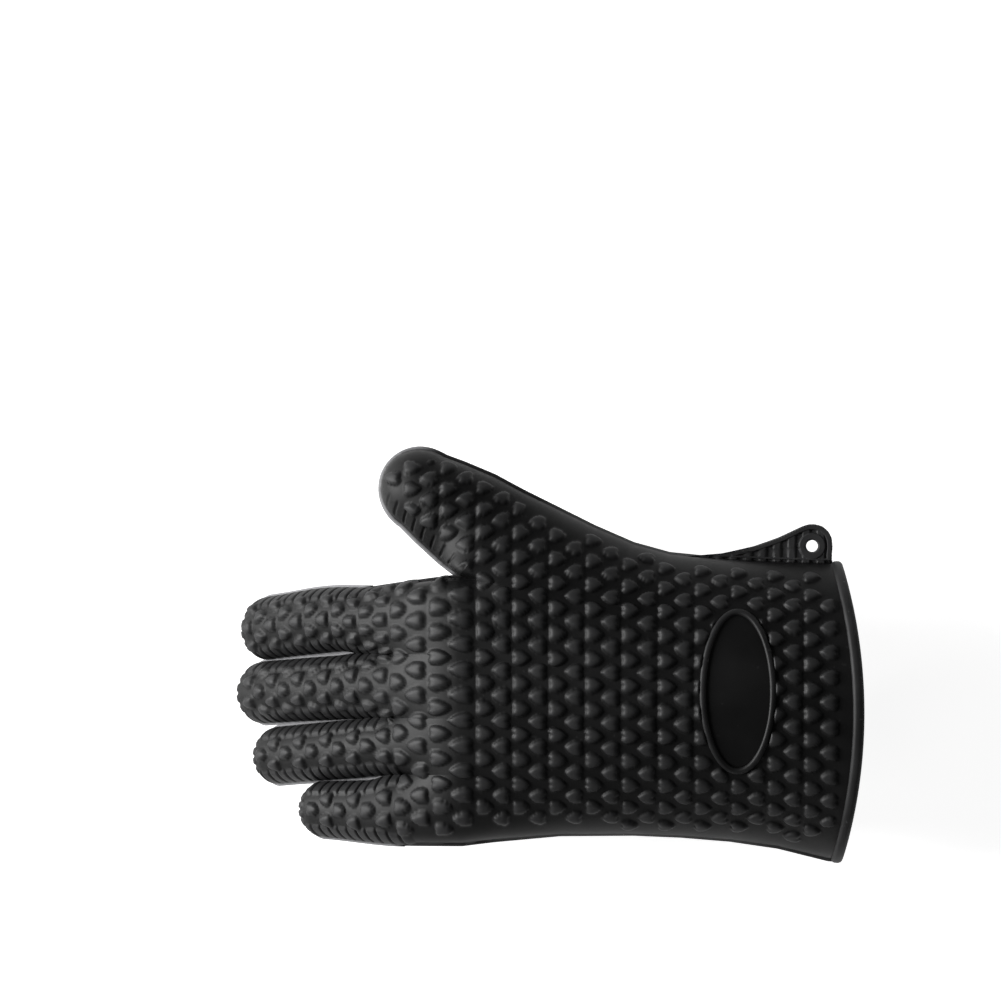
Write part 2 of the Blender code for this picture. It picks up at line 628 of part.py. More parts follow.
def add_object(name, points, faces, origin=None):
    centre = np.zeros(3) if origin is None else origin
    mesh = bpy.data.meshes.new(name)
    mesh.from_pydata(((points - centre) * MM).tolist(), [], [list(map(int, face)) for face in faces])
    mesh.update()
    made = bpy.data.objects.new(name, mesh)
    made.location = centre * MM
    bpy.context.scene.collection.objects.link(made)
    made.data.materials.append(material_for(name))
    return made


WORLD_HINGES = {}
for name, (spine, axis) in HINGES.items():
    WORLD_HINGES[name] = (stand(spine)[0], tipped(np.atleast_2d(axis), PITCH)[0])
for name, (points, faces) in SOLIDS.items():
    joint = ORIGINS.get(name)
    add_object(name, stand(points), faces, WORLD_HINGES[joint][0] if joint else None)


# ---- hanging tab: plate, thick edge, ribs and a flat land round the hole ----
def prism(name, outline, half):
    """A flat piece of this outline, the same height above and below the hand's middle plane."""
    outline = np.array(outline, float)
    count = len(outline)
    after = np.roll(outline, -1, axis=0)
    area = 0.5 * np.sum(outline[:, 0] * after[:, 1] - after[:, 0] * outline[:, 1])
    if area < 0:
        outline = outline[::-1]
    low = np.column_stack([outline, np.full(count, -half)])
    high = np.column_stack([outline, np.full(count, half)])
    faces = [list(range(count))[::-1], list(range(count, 2 * count))]
    faces += [[k, (k + 1) % count, (k + 1) % count + count, k + count] for k in range(count)]
    return add_object(name, stand(np.concatenate([low, high])), faces)


top = np.array([(-s, y) for s, y in TAB_TOP])
along = np.gradient(top, axis=0)
inwards = np.stack([along[:, 1], -along[:, 0]], axis=-1)
inwards /= np.linalg.norm(inwards, axis=1)[:, None]
bottom_x = np.linspace(top[-1, 0], top[0, 0], 9)
bottom = np.stack([bottom_x, np.interp(-bottom_x, UPPER_AT, UPPER_Y) + TAB_GAP], axis=-1)
bottom[0, 1] += 0.9
bottom[1, 1] += 0.1
plate_top = top + inwards * 0.5
tab = prism("hang_tab", np.concatenate([plate_top, bottom]), TAB_HALF)
floor_y = np.interp(-top[:, 0], UPPER_AT, UPPER_Y) + TAB_GAP + 0.25
rim_inner = top + inwards * TAB_RIM_WIDTH
keep = rim_inner[:, 1] > floor_y + 0.2
rim_inner = rim_inner[keep]
helpers = [prism("tab_edge", np.concatenate([top, rim_inner[::-1]]), TAB_RIM_HALF)]
ribs = 0
while True:
    middle = -4.4 - TAB_RIB_PITCH * ribs - TAB_RIB_WIDTH / 2
    left, right = middle - TAB_RIB_WIDTH / 2, middle + TAB_RIB_WIDTH / 2
    crest = np.interp([left, right], top[:8, 0], top[:8, 1]) - TAB_RIM_WIDTH * 0.6
    foot = np.interp([-left, -right], UPPER_AT, UPPER_Y) + TAB_GAP + 0.2
    if crest[0] - foot[0] < 1.2:
        break
    ribs += 1
    rib = [(left, foot[0]), (right, foot[1]), (right, crest[1]), (left, crest[0])]
    helpers.append(prism("tab_rib_%d" % ribs, rib, TAB_RIB_HALF))
spin = np.linspace(0.0, 2 * math.pi, 28, endpoint=False)
disc = np.stack([np.cos(spin), np.sin(spin)], axis=-1)
hole_centre = np.array([-TAB_HOLE[0], TAB_HOLE[1]])
helpers.append(prism("tab_land", hole_centre + disc * TAB_LAND_RADIUS, TAB_RIM_HALF + 0.1))
bore = prism("tab_bore", hole_centre + disc * TAB_HOLE_RADIUS, TAB_RIM_HALF + 3.0)
for helper in helpers + [bore]:
    helper.hide_render = True
    helper.display_type = "WIRE"
    cut = tab.modifiers.new(helper.name, "BOOLEAN")
    cut.operation = "DIFFERENCE" if helper is bore else "UNION"
    cut.solver = "EXACT"
    cut.object = helper
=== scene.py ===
import math

import bpy
import numpy as np
from mathutils import Matrix, Vector
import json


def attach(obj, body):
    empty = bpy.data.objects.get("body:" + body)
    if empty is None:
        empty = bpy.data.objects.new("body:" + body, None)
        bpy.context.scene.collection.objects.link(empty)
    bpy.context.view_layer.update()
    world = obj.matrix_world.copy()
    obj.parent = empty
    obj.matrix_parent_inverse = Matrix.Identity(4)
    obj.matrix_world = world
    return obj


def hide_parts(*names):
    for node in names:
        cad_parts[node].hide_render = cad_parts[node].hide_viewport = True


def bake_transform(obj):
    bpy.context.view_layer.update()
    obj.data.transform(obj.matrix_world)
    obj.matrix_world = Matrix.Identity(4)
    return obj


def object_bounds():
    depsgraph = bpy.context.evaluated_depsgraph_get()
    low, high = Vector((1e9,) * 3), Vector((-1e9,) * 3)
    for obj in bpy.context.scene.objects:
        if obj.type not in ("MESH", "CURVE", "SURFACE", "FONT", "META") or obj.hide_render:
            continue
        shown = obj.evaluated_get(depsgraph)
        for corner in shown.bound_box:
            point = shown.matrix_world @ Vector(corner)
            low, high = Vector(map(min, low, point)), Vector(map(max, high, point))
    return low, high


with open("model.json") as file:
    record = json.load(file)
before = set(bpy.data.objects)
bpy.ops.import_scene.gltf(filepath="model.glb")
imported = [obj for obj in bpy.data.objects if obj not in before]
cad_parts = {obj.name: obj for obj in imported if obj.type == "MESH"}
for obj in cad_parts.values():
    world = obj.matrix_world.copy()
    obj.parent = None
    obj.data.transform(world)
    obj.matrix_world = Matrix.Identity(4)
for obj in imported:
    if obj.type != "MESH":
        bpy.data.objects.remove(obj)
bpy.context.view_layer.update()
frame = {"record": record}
mm = 0.001

# Everything here is worked out in millimetres on the hand laid flat: s runs from the cuff to the
# fingertips, y across to the thumb, z up out of the back. Then it is curled, tipped and stood.
tab = {
    "land": (8.8, 66.4), "landHeight": 2.4, "landRadius": 5.0, "mountOffset": 3.7, "holeRadius": 2.35,
    "plate": 1.4, "edge": 2.3, "edgeWidth": 1.9, "rib": 2.05, "ribWidth": 2.4, "ribPitch": 5.8,
    "ribStart": 5.35, "ribSoft": 0.6, "soft": 0.5, "rounding": 0.8, "holeRounding": 0.6, "border": 1.2,
    "columns": 560, "rows": 54,
}
mount = next(m for m in frame["record"]["mounts"] if m["name"] == "tab_land")
handUp = np.array(mount["axis"], float)
pitch = math.atan2(handUp[0], handUp[2])


def tipped(points):
    c, s = math.cos(pitch), math.sin(pitch)
    return np.stack([points[..., 0] * c + points[..., 2] * s, points[..., 1],
                     points[..., 2] * c - points[..., 0] * s], axis=-1)


landPoint = np.array([-tab["land"][0] - tab["mountOffset"], tab["land"][1], tab["landHeight"]])
shift = np.array(mount["pos_m"], float) / mm - tipped(landPoint)


def stand(points):
    return (tipped(points) + shift) * mm


hand = {
    "wall": 2.0, "cuffHalfWidth": 59.2, "cuffHalfDepth": 38.0, "rimAtMiddle": -7.5, "rimSagitta": 8.2,
    "curlAt": (-30.0, 143.0, 158.0, 166.0, 175.5, 185.5, 218.0, 252.0, 290.0),
    "curlDeg": (0.0, 0.0, 15.0, 25.0, 33.0, 40.0, 44.5, 55.0, 58.0),
    "depthAt": (-12.0, 20.0, 60.0, 100.0, 130.0, 148.8, 170.0, 190.0),
    "depthShare": (1.0, 0.97, 0.88, 0.77, 0.66, 0.57, 0.45, 0.36),
    "upperAt": (-8.0, 26.0, 52.4, 66.0, 80.4, 96.0, 110.0, 124.8),
    "upperY": (59.2, 60.0, 61.4, 62.8, 66.8, 73.6, 80.6, 88.0),
    "lowerAt": (-8.0, 2.4, 22.4, 41.6, 61.2, 80.4, 109.6, 136.0, 148.8),
    "lowerY": (-59.2, -58.4, -53.4, -50.6, -49.0, -48.2, -48.4, -50.8, -52.4),
    "rootEdges": (-52.4, -25.0, -2.4, 23.2, 54.0), "webNear": 173.0, "webFar": 189.0,
    "rows": 292, "webRows": 66, "lobeSteps": 44, "thumbSteps": 56,
    "webFrom": -30.0, "webSpan": 42.0, "ovalPower": 2.0, "ovalGain": 0.3,
    "valleyFrom": 134.0, "valleyPowers": (26, 18), "valleyShape": 1.4,
}
thumb = {
    "crotch": (148.8, 54.0), "outer": (124.8, 88.0), "angle": 32.7, "tilt": 15.0,
    "widthAt": (0.0, 12.0, 24.7, 33.0, 60.0), "halfWidth": (20.8, 19.8, 17.6, 15.8, 15.8),
    "halfDepth": 14.6, "tipAt": 33.0, "tipLength": 17.0, "rootAt": 11.0, "middleAt": 30.0, "seam": 20.5,
    "rootZone": 8.0, "middleZone": 7.5, "rowStretch": 1.2, "turnOver": 24.0, "shorten": 0.6,
    "settle": 16.0, "rootFade": 12.0, "planFade": 30.0, "rowAt": 17.0, "rows": 96, "tipRows": 50,
    "plainCrotch": 6.6, "plainOuter": 2.6, "plainFade": 0.8, "rimPaintedLight": 9.0, "rimShare": 0.3,
    "cutDepth": 0.7, "cutPaintedShade": 0.5,
}
fingers = {
    "little": {"half": 11.0, "slope": -0.014, "tip": 215.0, "root": 185.0, "middle": 204.5, "row": -40.45},
    "ring": {"half": 11.3, "slope": -0.068, "tip": 242.4, "root": 197.5, "middle": 224.0, "row": -20.15},
    "middle": {"half": 12.3, "slope": -0.051, "tip": 252.0, "root": 202.0, "middle": 230.0, "row": 10.3},
    "index": {"half": 12.5, "slope": -0.091, "tip": 248.5, "root": 202.0, "middle": 228.5, "row": 35.68},
}
digit = {
    "depth": 0.98, "taper": 0.5, "depthTaper": 0.4, "indexRoot": 49.0, "outerSettle": 50.0,
    "innerSettle": 18.0, "rootSettle": 8.0, "lowerRows": 66, "upperRows": 60, "tipRows": 30,
    "zones": (9.3, 10.3, 10.3, 10.3), "rimPaintedLight": 12.0, "rays": 14, "rayHeight": 0.6, "rayPaintedLight": 0.7,
}
pattern = {
    "band": 14.5, "groove": -129.0, "row": 10.15, "firstRow": 0.15, "length": 6.9, "halfWidth": 3.1,
    "height": 1.6, "lobe": 2.4, "crest": 3.0, "notch": 0.5, "grooveDepth": 0.35, "grooveHalf": 0.5,
    "ribPitch": 4.83, "ribHeight": 0.9, "ribGap": 0.42, "rimHeight": 1.3, "rimHalf": 0.8,
    "plainEdge": 10.5, "sideZone": 9.8, "fingerSqueeze": 1.15, "notchHalf": 0.8, "pointPower": 1.7,
    "taperPower": 0.85, "sidePower": 3.0, "alongPower": 2.8, "fullness": 0.46, "cuffGap": 0.45,
    "tipGap": 0.75, "rowMiddle": 2.0, "rowDrift": 0.02, "edgeFade": 1.5, "zoneFade": 1.2,
    "ribFrom": 1.2, "ribFade": 0.5, "cuffPlain": 3.0, "crotchPlain": 4.0, "crotchFade": 2.0,
}
# How far inside its zone the middle of a heart has to lie for the heart to be there.
room = {"palm": 2.0, "cuff": 5.5, "web": 0.4, "finger": -0.8, "tip": 2.5, "thumb": 0.7}
# Painted light and shade: the grooves and the gaps between ribs are painted darker as shade, and the ribs
# and the parting rim are painted paler as light.
paintedLightAndShade = {"groove": 0.5, "rib": 0.8, "ribGap": 0.6, "rim": 1.2}
badge = {
    "centre": (38.9, 8.5), "halfLength": 14.0, "halfWidth": 31.6, "half": 1.3, "height": 1.4,
    "clear": 1.07, "fade": 0.03, "power": 0.8, "sink": 0.5,
}
bead = {"radius": 1.6, "inset": 0.4, "gap": 0.3, "stretch": 1.25, "lap": 0.35}


def smooth(t):
    t = np.clip(t, 0.0, 1.0)
    return t * t * (3.0 - 2.0 * t)


steps = np.linspace(-30.0, 290.0, 3201)
tilts = np.radians(np.interp(steps, hand["curlAt"], hand["curlDeg"]))
mids = (tilts[1:] + tilts[:-1]) / 2
lineX = np.concatenate([[0.0], -np.cumsum(np.cos(mids) * np.diff(steps))]) + 30.0
lineZ = np.concatenate([[0.0], -np.cumsum(np.sin(mids) * np.diff(steps))])


# A flat place is moved to the curled line, and its height is laid off along that line's way up.
def bend(s, y, z):
    tilt = np.radians(np.interp(s, hand["curlAt"], hand["curlDeg"]))
    up = np.stack([-np.sin(tilt), np.zeros_like(tilt), np.cos(tilt)], axis=-1)
    spine = np.stack([np.interp(s, steps, lineX), y, np.interp(s, steps, lineZ)], axis=-1)
    return spine + up * np.asarray(z)[..., None]


def halfDepth(s):
    return hand["cuffHalfDepth"] * np.interp(s, hand["depthAt"], hand["depthShare"])


def webLine(y):
    share = smooth((y - hand["webFrom"]) / hand["webSpan"])
    return hand["webNear"] + (hand["webFar"] - hand["webNear"]) * share


def rimLine(y):
    return hand["rimAtMiddle"] + hand["rimSagitta"] * (y / hand["cuffHalfWidth"]) ** 2


# Angles across one lobe, from pi to 0, closer together beside the parting line.
def lobeAngles(count):
    fine = np.array([0.0, 0.014, 0.028, 0.042])
    inner = np.linspace(0.056, math.pi - 0.056, count)
    return np.concatenate([math.pi - fine, inner[::-1], fine[::-1]])


def oval(eta, power):
    return np.maximum(0.0, 1.0 - np.abs(eta) ** power) ** (1.0 / power)


rootEdges = hand["rootEdges"]
crotchPlan = np.array(thumb["crotch"])
outerPlan = np.array(thumb["outer"])
lobe = lobeAngles(hand["lobeSteps"])
lobeCount = len(lobe) - 1
thumbLobe = lobeAngles(hand["thumbSteps"])
crotchColumn = 4 * lobeCount


def handPlan():
    across = []
    for low, high in zip(rootEdges[:-1], rootEdges[1:]):
        part = (low + high) / 2 + (high - low) / 2 * np.cos(lobe)
        across.append(part[1:] if across else part)
    across = np.concatenate(across)
    palm = np.stack([np.full_like(across, crotchPlan[0]), across], axis=-1)
    share = (1.0 + np.cos(thumbLobe))[1:, None] / 2
    return np.concatenate([palm, crotchPlan * (1 - share) + outerPlan * share])


# The plan is a Coons patch: its four edges are blended across, less the blend of its corners.
# The height is an oval over the distance across, dipping to nothing where the thumb divides off.
def palmBlock():
    last = handPlan()
    columns = len(last)
    u = np.linspace(0.0, 1.0, columns)
    rimY = -hand["cuffHalfWidth"] * np.cos(math.pi * u)
    first = np.stack([rimLine(rimY), rimY], axis=-1)
    t = np.linspace(0.0, 1.0, hand["rows"] + 1)
    lowS = first[0, 0] + (last[0, 0] - first[0, 0]) * t
    highS = first[-1, 0] + (last[-1, 0] - first[-1, 0]) * t
    low = np.stack([lowS, np.interp(lowS, hand["lowerAt"], hand["lowerY"])], axis=-1)
    high = np.stack([highS, np.interp(highS, hand["upperAt"], hand["upperY"])], axis=-1)
    a = u[None, :, None]
    v = t[:, None, None]
    plan = (1 - v) * first[None] + v * last[None] + (1 - a) * low[:, None] + a * high[:, None]
    plan = plan - (1 - a) * (1 - v) * first[0] - a * (1 - v) * first[-1]
    plan = plan - (1 - a) * v * last[0] - a * v * last[-1]
    run = np.linalg.norm(np.diff(plan, axis=1), axis=-1)
    run = np.concatenate([np.zeros((len(t), 1)), np.cumsum(run, axis=1)], axis=1)
    eta = 2 * run / run[:, -1:] - 1
    near = smooth(t * 3)[:, None]
    eta = -np.cos(math.pi * u)[None] * (1 - near) + eta * near
    power = hand["ovalPower"] + hand["ovalGain"] * smooth(t)[:, None]
    depth = halfDepth(first[0, 0] + (last[0, 0] - first[0, 0]) * t)[:, None]
    inner = np.clip(2 * (last[:, 1] - rootEdges[0]) / (crotchPlan[1] - rootEdges[0]) - 1, 0, 1)
    angle = np.concatenate([np.full(crotchColumn, math.pi / 2), math.pi - thumbLobe])
    outer = np.clip(np.cos(angle), 0, 1)
    innerPower, outerPower = hand["valleyPowers"]
    dip = np.where(np.arange(columns) <= crotchColumn, 1 - inner**innerPower, 1 - outer**outerPower)
    start = hand["valleyFrom"]
    reach = np.clip((plan[:, crotchColumn, 0] - start) / (crotchPlan[0] - start), 0, 1)[:, None]
    valley = np.sqrt(dip + (1 - dip) * (1 - reach**2) ** hand["valleyShape"])
    dome = depth * oval(eta, power)
    return plan[..., 0], plan[..., 1], dome * valley, dome


# Past the palm the four lobes run on to the web line, and the valleys between them fall to nothing.
def webBlock(edgeHeight):
    plan = handPlan()[: crotchColumn + 1]
    t = np.linspace(0.0, 1.0, hand["webRows"] + 1)[:, None]
    s = crotchPlan[0] + (webLine(plan[:, 1])[None] - crotchPlan[0]) * t
    place = np.arange(len(plan))
    number = np.minimum(place // lobeCount, 3)
    ridge = np.sin(lobe[place - number * lobeCount])
    outside = (place < lobeCount / 2) | (place > 3.5 * lobeCount)
    end = np.where(outside, ridge, 1.0)
    ridge = np.where(outside, 1.0, ridge)
    full = np.array([finger["half"] for finger in fingers.values()]) * digit["depth"]
    centres = (np.array(rootEdges[:-1]) + np.array(rootEdges[1:])) / 2
    tall = np.interp(plan[:, 1], centres, full)
    ratio = halfDepth(s) / halfDepth(crotchPlan[0])
    mix = smooth(t)
    base = (1 - mix) * edgeHeight[None] * ratio + mix * (tall * end)[None]
    valley = np.sqrt(ridge**2 + (1 - ridge**2) * (1 - t**2) ** hand["valleyShape"])
    slant = np.clip((plan[:, 1] - rootEdges[3]) / (rootEdges[4] - rootEdges[3]), 0, 1)
    inward = (digit["indexRoot"] - rootEdges[4]) * slant[None] * t
    return s, plan[None, :, 1] + inward, base * valley


# A finger keeps the width of its root on an outer side for longer than it does between fingers.
def fingerSize(name, s):
    number = list(fingers).index(name)
    finger = fingers[name]
    low, high = rootEdges[number], rootEdges[number + 1]
    start = webLine((low + high) / 2)
    outer = digit["indexRoot"] if number == 3 else high
    taper = smooth((s - start) / (finger["tip"] - start))
    middle = (low + high) / 2 + finger["slope"] * (s - start)
    thin = finger["half"] - digit["taper"] * taper
    lowSettle = smooth((s - start) / (digit["outerSettle"] if number == 0 else digit["innerSettle"]))
    highSettle = smooth((s - start) / (digit["outerSettle"] if number == 3 else digit["innerSettle"]))
    lowEdge = low * (1 - lowSettle) + (middle - thin) * lowSettle
    highEdge = outer * (1 - highSettle) + (middle + thin) * highSettle
    depth = finger["half"] * digit["depth"] - digit["depthTaper"] * taper
    radius = finger["half"] - digit["taper"]
    tip = np.sqrt(np.clip(1 - (np.maximum(s - finger["tip"], 0) / radius) ** 2, 0, 1))
    return (lowEdge + highEdge) / 2, (highEdge - lowEdge) / 2 * tip, depth * tip


# The thumb's middle line, its way across and its way up, at the distance t from where it starts.
def thumbFrame(t):
    lean = math.radians(thumb["angle"])
    along = np.array([-math.cos(lean), math.sin(lean), 0.0])
    across = np.array([math.sin(lean), math.cos(lean), 0.0])
    most = math.radians(thumb["tilt"])
    turned = thumb["turnOver"]
    tilt = most * smooth(t / turned)
    drop = most * np.where(t < turned, np.maximum(t, 0) * 0.5, t - turned / 2)
    middle = np.array([-(crotchPlan[0] + outerPlan[0]) / 2, (crotchPlan[1] + outerPlan[1]) / 2, 0])
    onward = along * (t * math.cos(most * thumb["shorten"]))[..., None]
    spine = middle + onward - np.array([0, 0, 1.0]) * drop[..., None]
    up = np.array([0, 0, 1.0]) * np.cos(tilt)[..., None] + along * np.sin(tilt)[..., None]
    return spine, np.broadcast_to(across, spine.shape), up


# One heart: a soft pillow, whose width at each distance from its lobes is a rounded triangle's.
def heart(q, r):
    q = q - pattern["notch"] * np.exp(-((r / pattern["notchHalf"]) ** 2)) * (q < pattern["lobe"])
    early = np.clip((pattern["lobe"] - q) / pattern["lobe"], 0, 1)
    late = np.clip((q - pattern["lobe"]) / (pattern["length"] - pattern["lobe"]), 0, 1)
    point = (1 - late ** pattern["pointPower"]) ** pattern["taperPower"]
    half = pattern["halfWidth"] * np.maximum((1 - early**3) ** (1 / 3) * point, 0.02)
    side = np.clip(1 - (np.abs(r) / half) ** pattern["sidePower"], 0, 1)
    reach = np.where(q < pattern["crest"], pattern["crest"], pattern["length"] - pattern["crest"])
    along = np.clip(1 - (np.abs(q - pattern["crest"]) / reach) ** pattern["alongPower"], 0, 1)
    return (side * along) ** pattern["fullness"]


# Bands of hearts: in each, one row points to the cuff and the next, half a row on, to the fingers.
# A heart is there or not as a whole, by where its middle is: whole() is told how far off that is.
def hearts(s, c, whole):
    t = np.mod(-s - pattern["groove"], pattern["band"])
    row = pattern["row"]
    r = np.mod(c - pattern["firstRow"] + row / 2, row) - row / 2
    other = np.mod(c - pattern["firstRow"], row) - row / 2
    middle = pattern["length"] / 2
    fromCuff = t - pattern["cuffGap"]
    fromTips = pattern["band"] - pattern["tipGap"] - t
    toCuff = heart(fromCuff, r) * whole(r, fromCuff - middle)
    toTips = heart(fromTips, other) * whole(other, middle - fromTips)
    found = np.maximum(toCuff, toTips)
    line = np.exp(-((np.minimum(t, pattern["band"] - t) / pattern["grooveHalf"]) ** 2))
    return found, line


# One on a rib, falling to nothing in the narrow gaps that lie a pitch apart.
def ribsAt(place):
    gap = np.mod(place, pattern["ribPitch"]) - pattern["ribPitch"] / 2
    return 1 - np.exp(-((gap / pattern["ribGap"]) ** 2))


# The pattern's height and its painted light and shade: hearts less the groove, side ribs, or the parting
# rim, the highest. Hearts, ribs and the rim are painted paler as painted light, and the grooves and rib
# gaps are painted darker as painted shade.
def relief(s, c, z, ribs, keep, whole, rimPaintedLight=paintedLightAndShade["rim"], rimShare=1.0):
    raisedPaintedLight, line = hearts(s, c, whole)
    raisedPaintedLight = raisedPaintedLight * keep
    rib = ribsAt(s) * ribs
    rim = np.sqrt(np.clip(1 - (z / pattern["rimHalf"]) ** 2, 0, 1))
    high = pattern["height"] * raisedPaintedLight - pattern["grooveDepth"] * line * keep
    high = np.where(ribs > 0.02, np.maximum(high, pattern["ribHeight"] * rib), high)
    # Painted light on the ribs, and painted shade in the narrow gaps between them.
    ribShade = paintedLightAndShade["rib"] * rib - paintedLightAndShade["ribGap"] * ribs * (1 - ribsAt(s))
    shade = np.maximum(raisedPaintedLight - paintedLightAndShade["groove"] * line * keep, ribShade)
    # The parting rim is painted pale: a painted highlight.
    shade = np.where(rim > 0, rimPaintedLight * np.minimum(rim * 2, 1), shade)
    return np.maximum(high, pattern["rimHeight"] * rim * rimShare), shade


# The way out of a grid is the cross product of its ways across and along.
def gridNormals(points, wrap):
    rows = np.gradient(points, axis=0)
    if wrap:
        columns = np.roll(points, -1, axis=1) - np.roll(points, 1, axis=1)
    else:
        columns = np.gradient(points, axis=1)
    normals = np.cross(columns, rows)
    length = np.linalg.norm(normals, axis=-1, keepdims=True)
    return normals / np.maximum(length, 1e-9)


# A tube's normals are turned to face away from its middle, and its closed end gets one for all.
def tubeNormals(points):
    normals = gridNormals(points, True)
    ring = points[20] - points[20].mean(axis=0)
    outward = np.sign(np.sum(normals[20] * ring, axis=-1).mean())
    normals = normals * outward
    normals[-1] = normals[-2].mean(axis=0) / np.linalg.norm(normals[-2].mean(axis=0))
    return normals, outward


# The distance run along each row from its first point.
def arcAcross(y, z):
    run = np.hypot(np.diff(y, axis=1), np.diff(z, axis=1))
    return np.concatenate([np.zeros((len(y), 1)), np.cumsum(run, axis=1)], axis=1)


# Nothing beside the crotch of the thumb, and all of the pattern a little way off.
def offCrotch(s, y):
    far = np.hypot(s - crotchPlan[0], y - crotchPlan[1])
    return smooth((far - pattern["crotchPlain"]) / pattern["crotchFade"])


def fadeIn(edge, start, over):
    return smooth((edge - start + over) / over)


print("hand skin")
palmS, palmY, palmZ, palmDome = palmBlock()
arc = arcAcross(palmY, palmDome)
rowLine = pattern["rowMiddle"] + pattern["rowDrift"] * (palmS[:, 0] - 60)
rowLine = np.array([np.interp(at, y, a) for at, y, a in zip(rowLine, palmY, arc)])
palmC = arc - rowLine[:, None] + pattern["rowMiddle"]
edgePalm = np.minimum(arc, arc[:, -1:] - arc)
badgeGap = np.hypot((palmS - badge["centre"][0]) / badge["halfLength"],
                    (palmY - badge["centre"][1]) / badge["halfWidth"])
plainPalm = pattern["plainEdge"] + 2.0 * (1 - smooth(palmS / 110.0))
keepPalm = fadeIn(edgePalm, plainPalm, pattern["edgeFade"])
keepPalm = keepPalm * smooth((badgeGap - badge["clear"]) / badge["fade"])
keepPalm = keepPalm * smooth(palmS - rimLine(palmY) - pattern["cuffPlain"]) * offCrotch(palmS, palmY)
webS, webY, webZ = webBlock(palmZ[-1, : crotchColumn + 1])
column = np.arange(crotchColumn + 1)
number = np.minimum(column // lobeCount, 3)
local = lobe[column - number * lobeCount]
rowOf = np.array([finger["row"] for finger in fingers.values()])[number]
halfOf = np.array([(b - a) / 2 for a, b in zip(rootEdges[:-1], rootEdges[1:])])[number]
lobeC = rowOf + pattern["fingerSqueeze"] * halfOf * (math.pi / 2 - local)
lobeEdge = halfOf * np.minimum(local, math.pi - local)
webT = np.linspace(0.0, 1.0, hand["webRows"] + 1)[:, None]
share = smooth(webT)
onFingers = webS > pattern["band"] * 3 - pattern["groove"]
webC = np.where(onFingers, lobeC[None], palmC[-1, : crotchColumn + 1][None])
outerHalf = (column < lobeCount / 2) | (column > 3.5 * lobeCount)
webEdge = np.where(outerHalf, edgePalm[-1, : crotchColumn + 1] * (1 - share) + lobeEdge * share,
                   np.where(onFingers, lobeEdge, 40.0))
sideZone = pattern["sideZone"] * smooth((webT - 0.55) / 0.45)
sideZone = np.where(outerHalf, pattern["plainEdge"] * (1 - share) + pattern["sideZone"] * share,
                    np.maximum(sideZone, 2.5))
keepWeb = fadeIn(webEdge, sideZone, pattern["edgeFade"]) * offCrotch(webS, webY)
zoneWeb = smooth((webEdge - sideZone) / pattern["zoneFade"])
webRibs = smooth((webT - 0.7) / 0.2) * (1 - zoneWeb)
webRibs = webRibs * smooth((lobeEdge - pattern["ribFrom"]) / pattern["ribFade"])


def upAt(s):
    tilt = np.radians(np.interp(s, hand["curlAt"], hand["curlDeg"]))
    return np.stack([-np.sin(tilt), 0 * tilt, np.cos(tilt)], axis=-1)


# On the parting line the two halves must agree, so their normals lose what points up or down.
def level(normals, s):
    up = upAt(s)
    flat = normals - up * np.sum(normals * up, axis=-1, keepdims=True)
    return flat / np.maximum(np.linalg.norm(flat, axis=-1, keepdims=True), 1e-9)


pieces = {}
rootRows = {}


def wholeOnPalm(r, ahead):
    near = np.minimum(arc - r, arc[:, -1:] - arc + r) - plainPalm
    return (near > room["palm"]) & (palmS + ahead - rimLine(palmY) > room["cuff"])


def wholeOnWeb(r, ahead):
    outward = np.where(local < math.pi / 2, 1.0, -1.0)
    there = webEdge + np.where(onFingers | outerHalf, outward * r / pattern["fingerSqueeze"], 0.0)
    return there - sideZone > room["web"]


palmHigh, palmPaintedLight = relief(palmS, palmC, palmZ, np.zeros_like(palmS), keepPalm, wholeOnPalm)
webHigh, webPaintedLight = relief(webS, webC, webZ, webRibs, keepWeb, wholeOnWeb)
for name, side in (("hand_back_skin", 1), ("hand_palm_skin", -1)):
    base = bend(palmS, palmY, side * palmZ)
    normals = gridNormals(base, False) * side
    baseWeb = bend(webS, webY, side * webZ)
    normalsWeb = gridNormals(baseWeb, False) * side
    shared = normals[-1, : crotchColumn + 1] + normalsWeb[0]
    shared /= np.linalg.norm(shared, axis=-1, keepdims=True)
    normals[-1, : crotchColumn + 1] = shared
    normalsWeb[0] = shared
    for k in (0, -1):
        normals[:, k] = level(normals[:, k], palmS[:, k])
        normalsWeb[:, k] = level(normalsWeb[:, k], webS[:, k])
    ahead = np.cross(upAt(webS[-1]), np.array([0, 1.0, 0]))
    valleys = np.arange(1, 4) * lobeCount
    normalsWeb[-1, valleys] = -ahead[valleys] * np.sign(ahead[valleys, :1])
    normals[-1, crotchColumn] = normalsWeb[0, -1]
    palm = base + normals * palmHigh[..., None]
    web = baseWeb + normalsWeb * webHigh[..., None]
    web[0] = palm[-1, : crotchColumn + 1]
    rootRows[side] = (web[-1], palm[-1, crotchColumn:])
    pieces[name] = ([(palm, palmPaintedLight), (web, webPaintedLight)], False, side < 0)

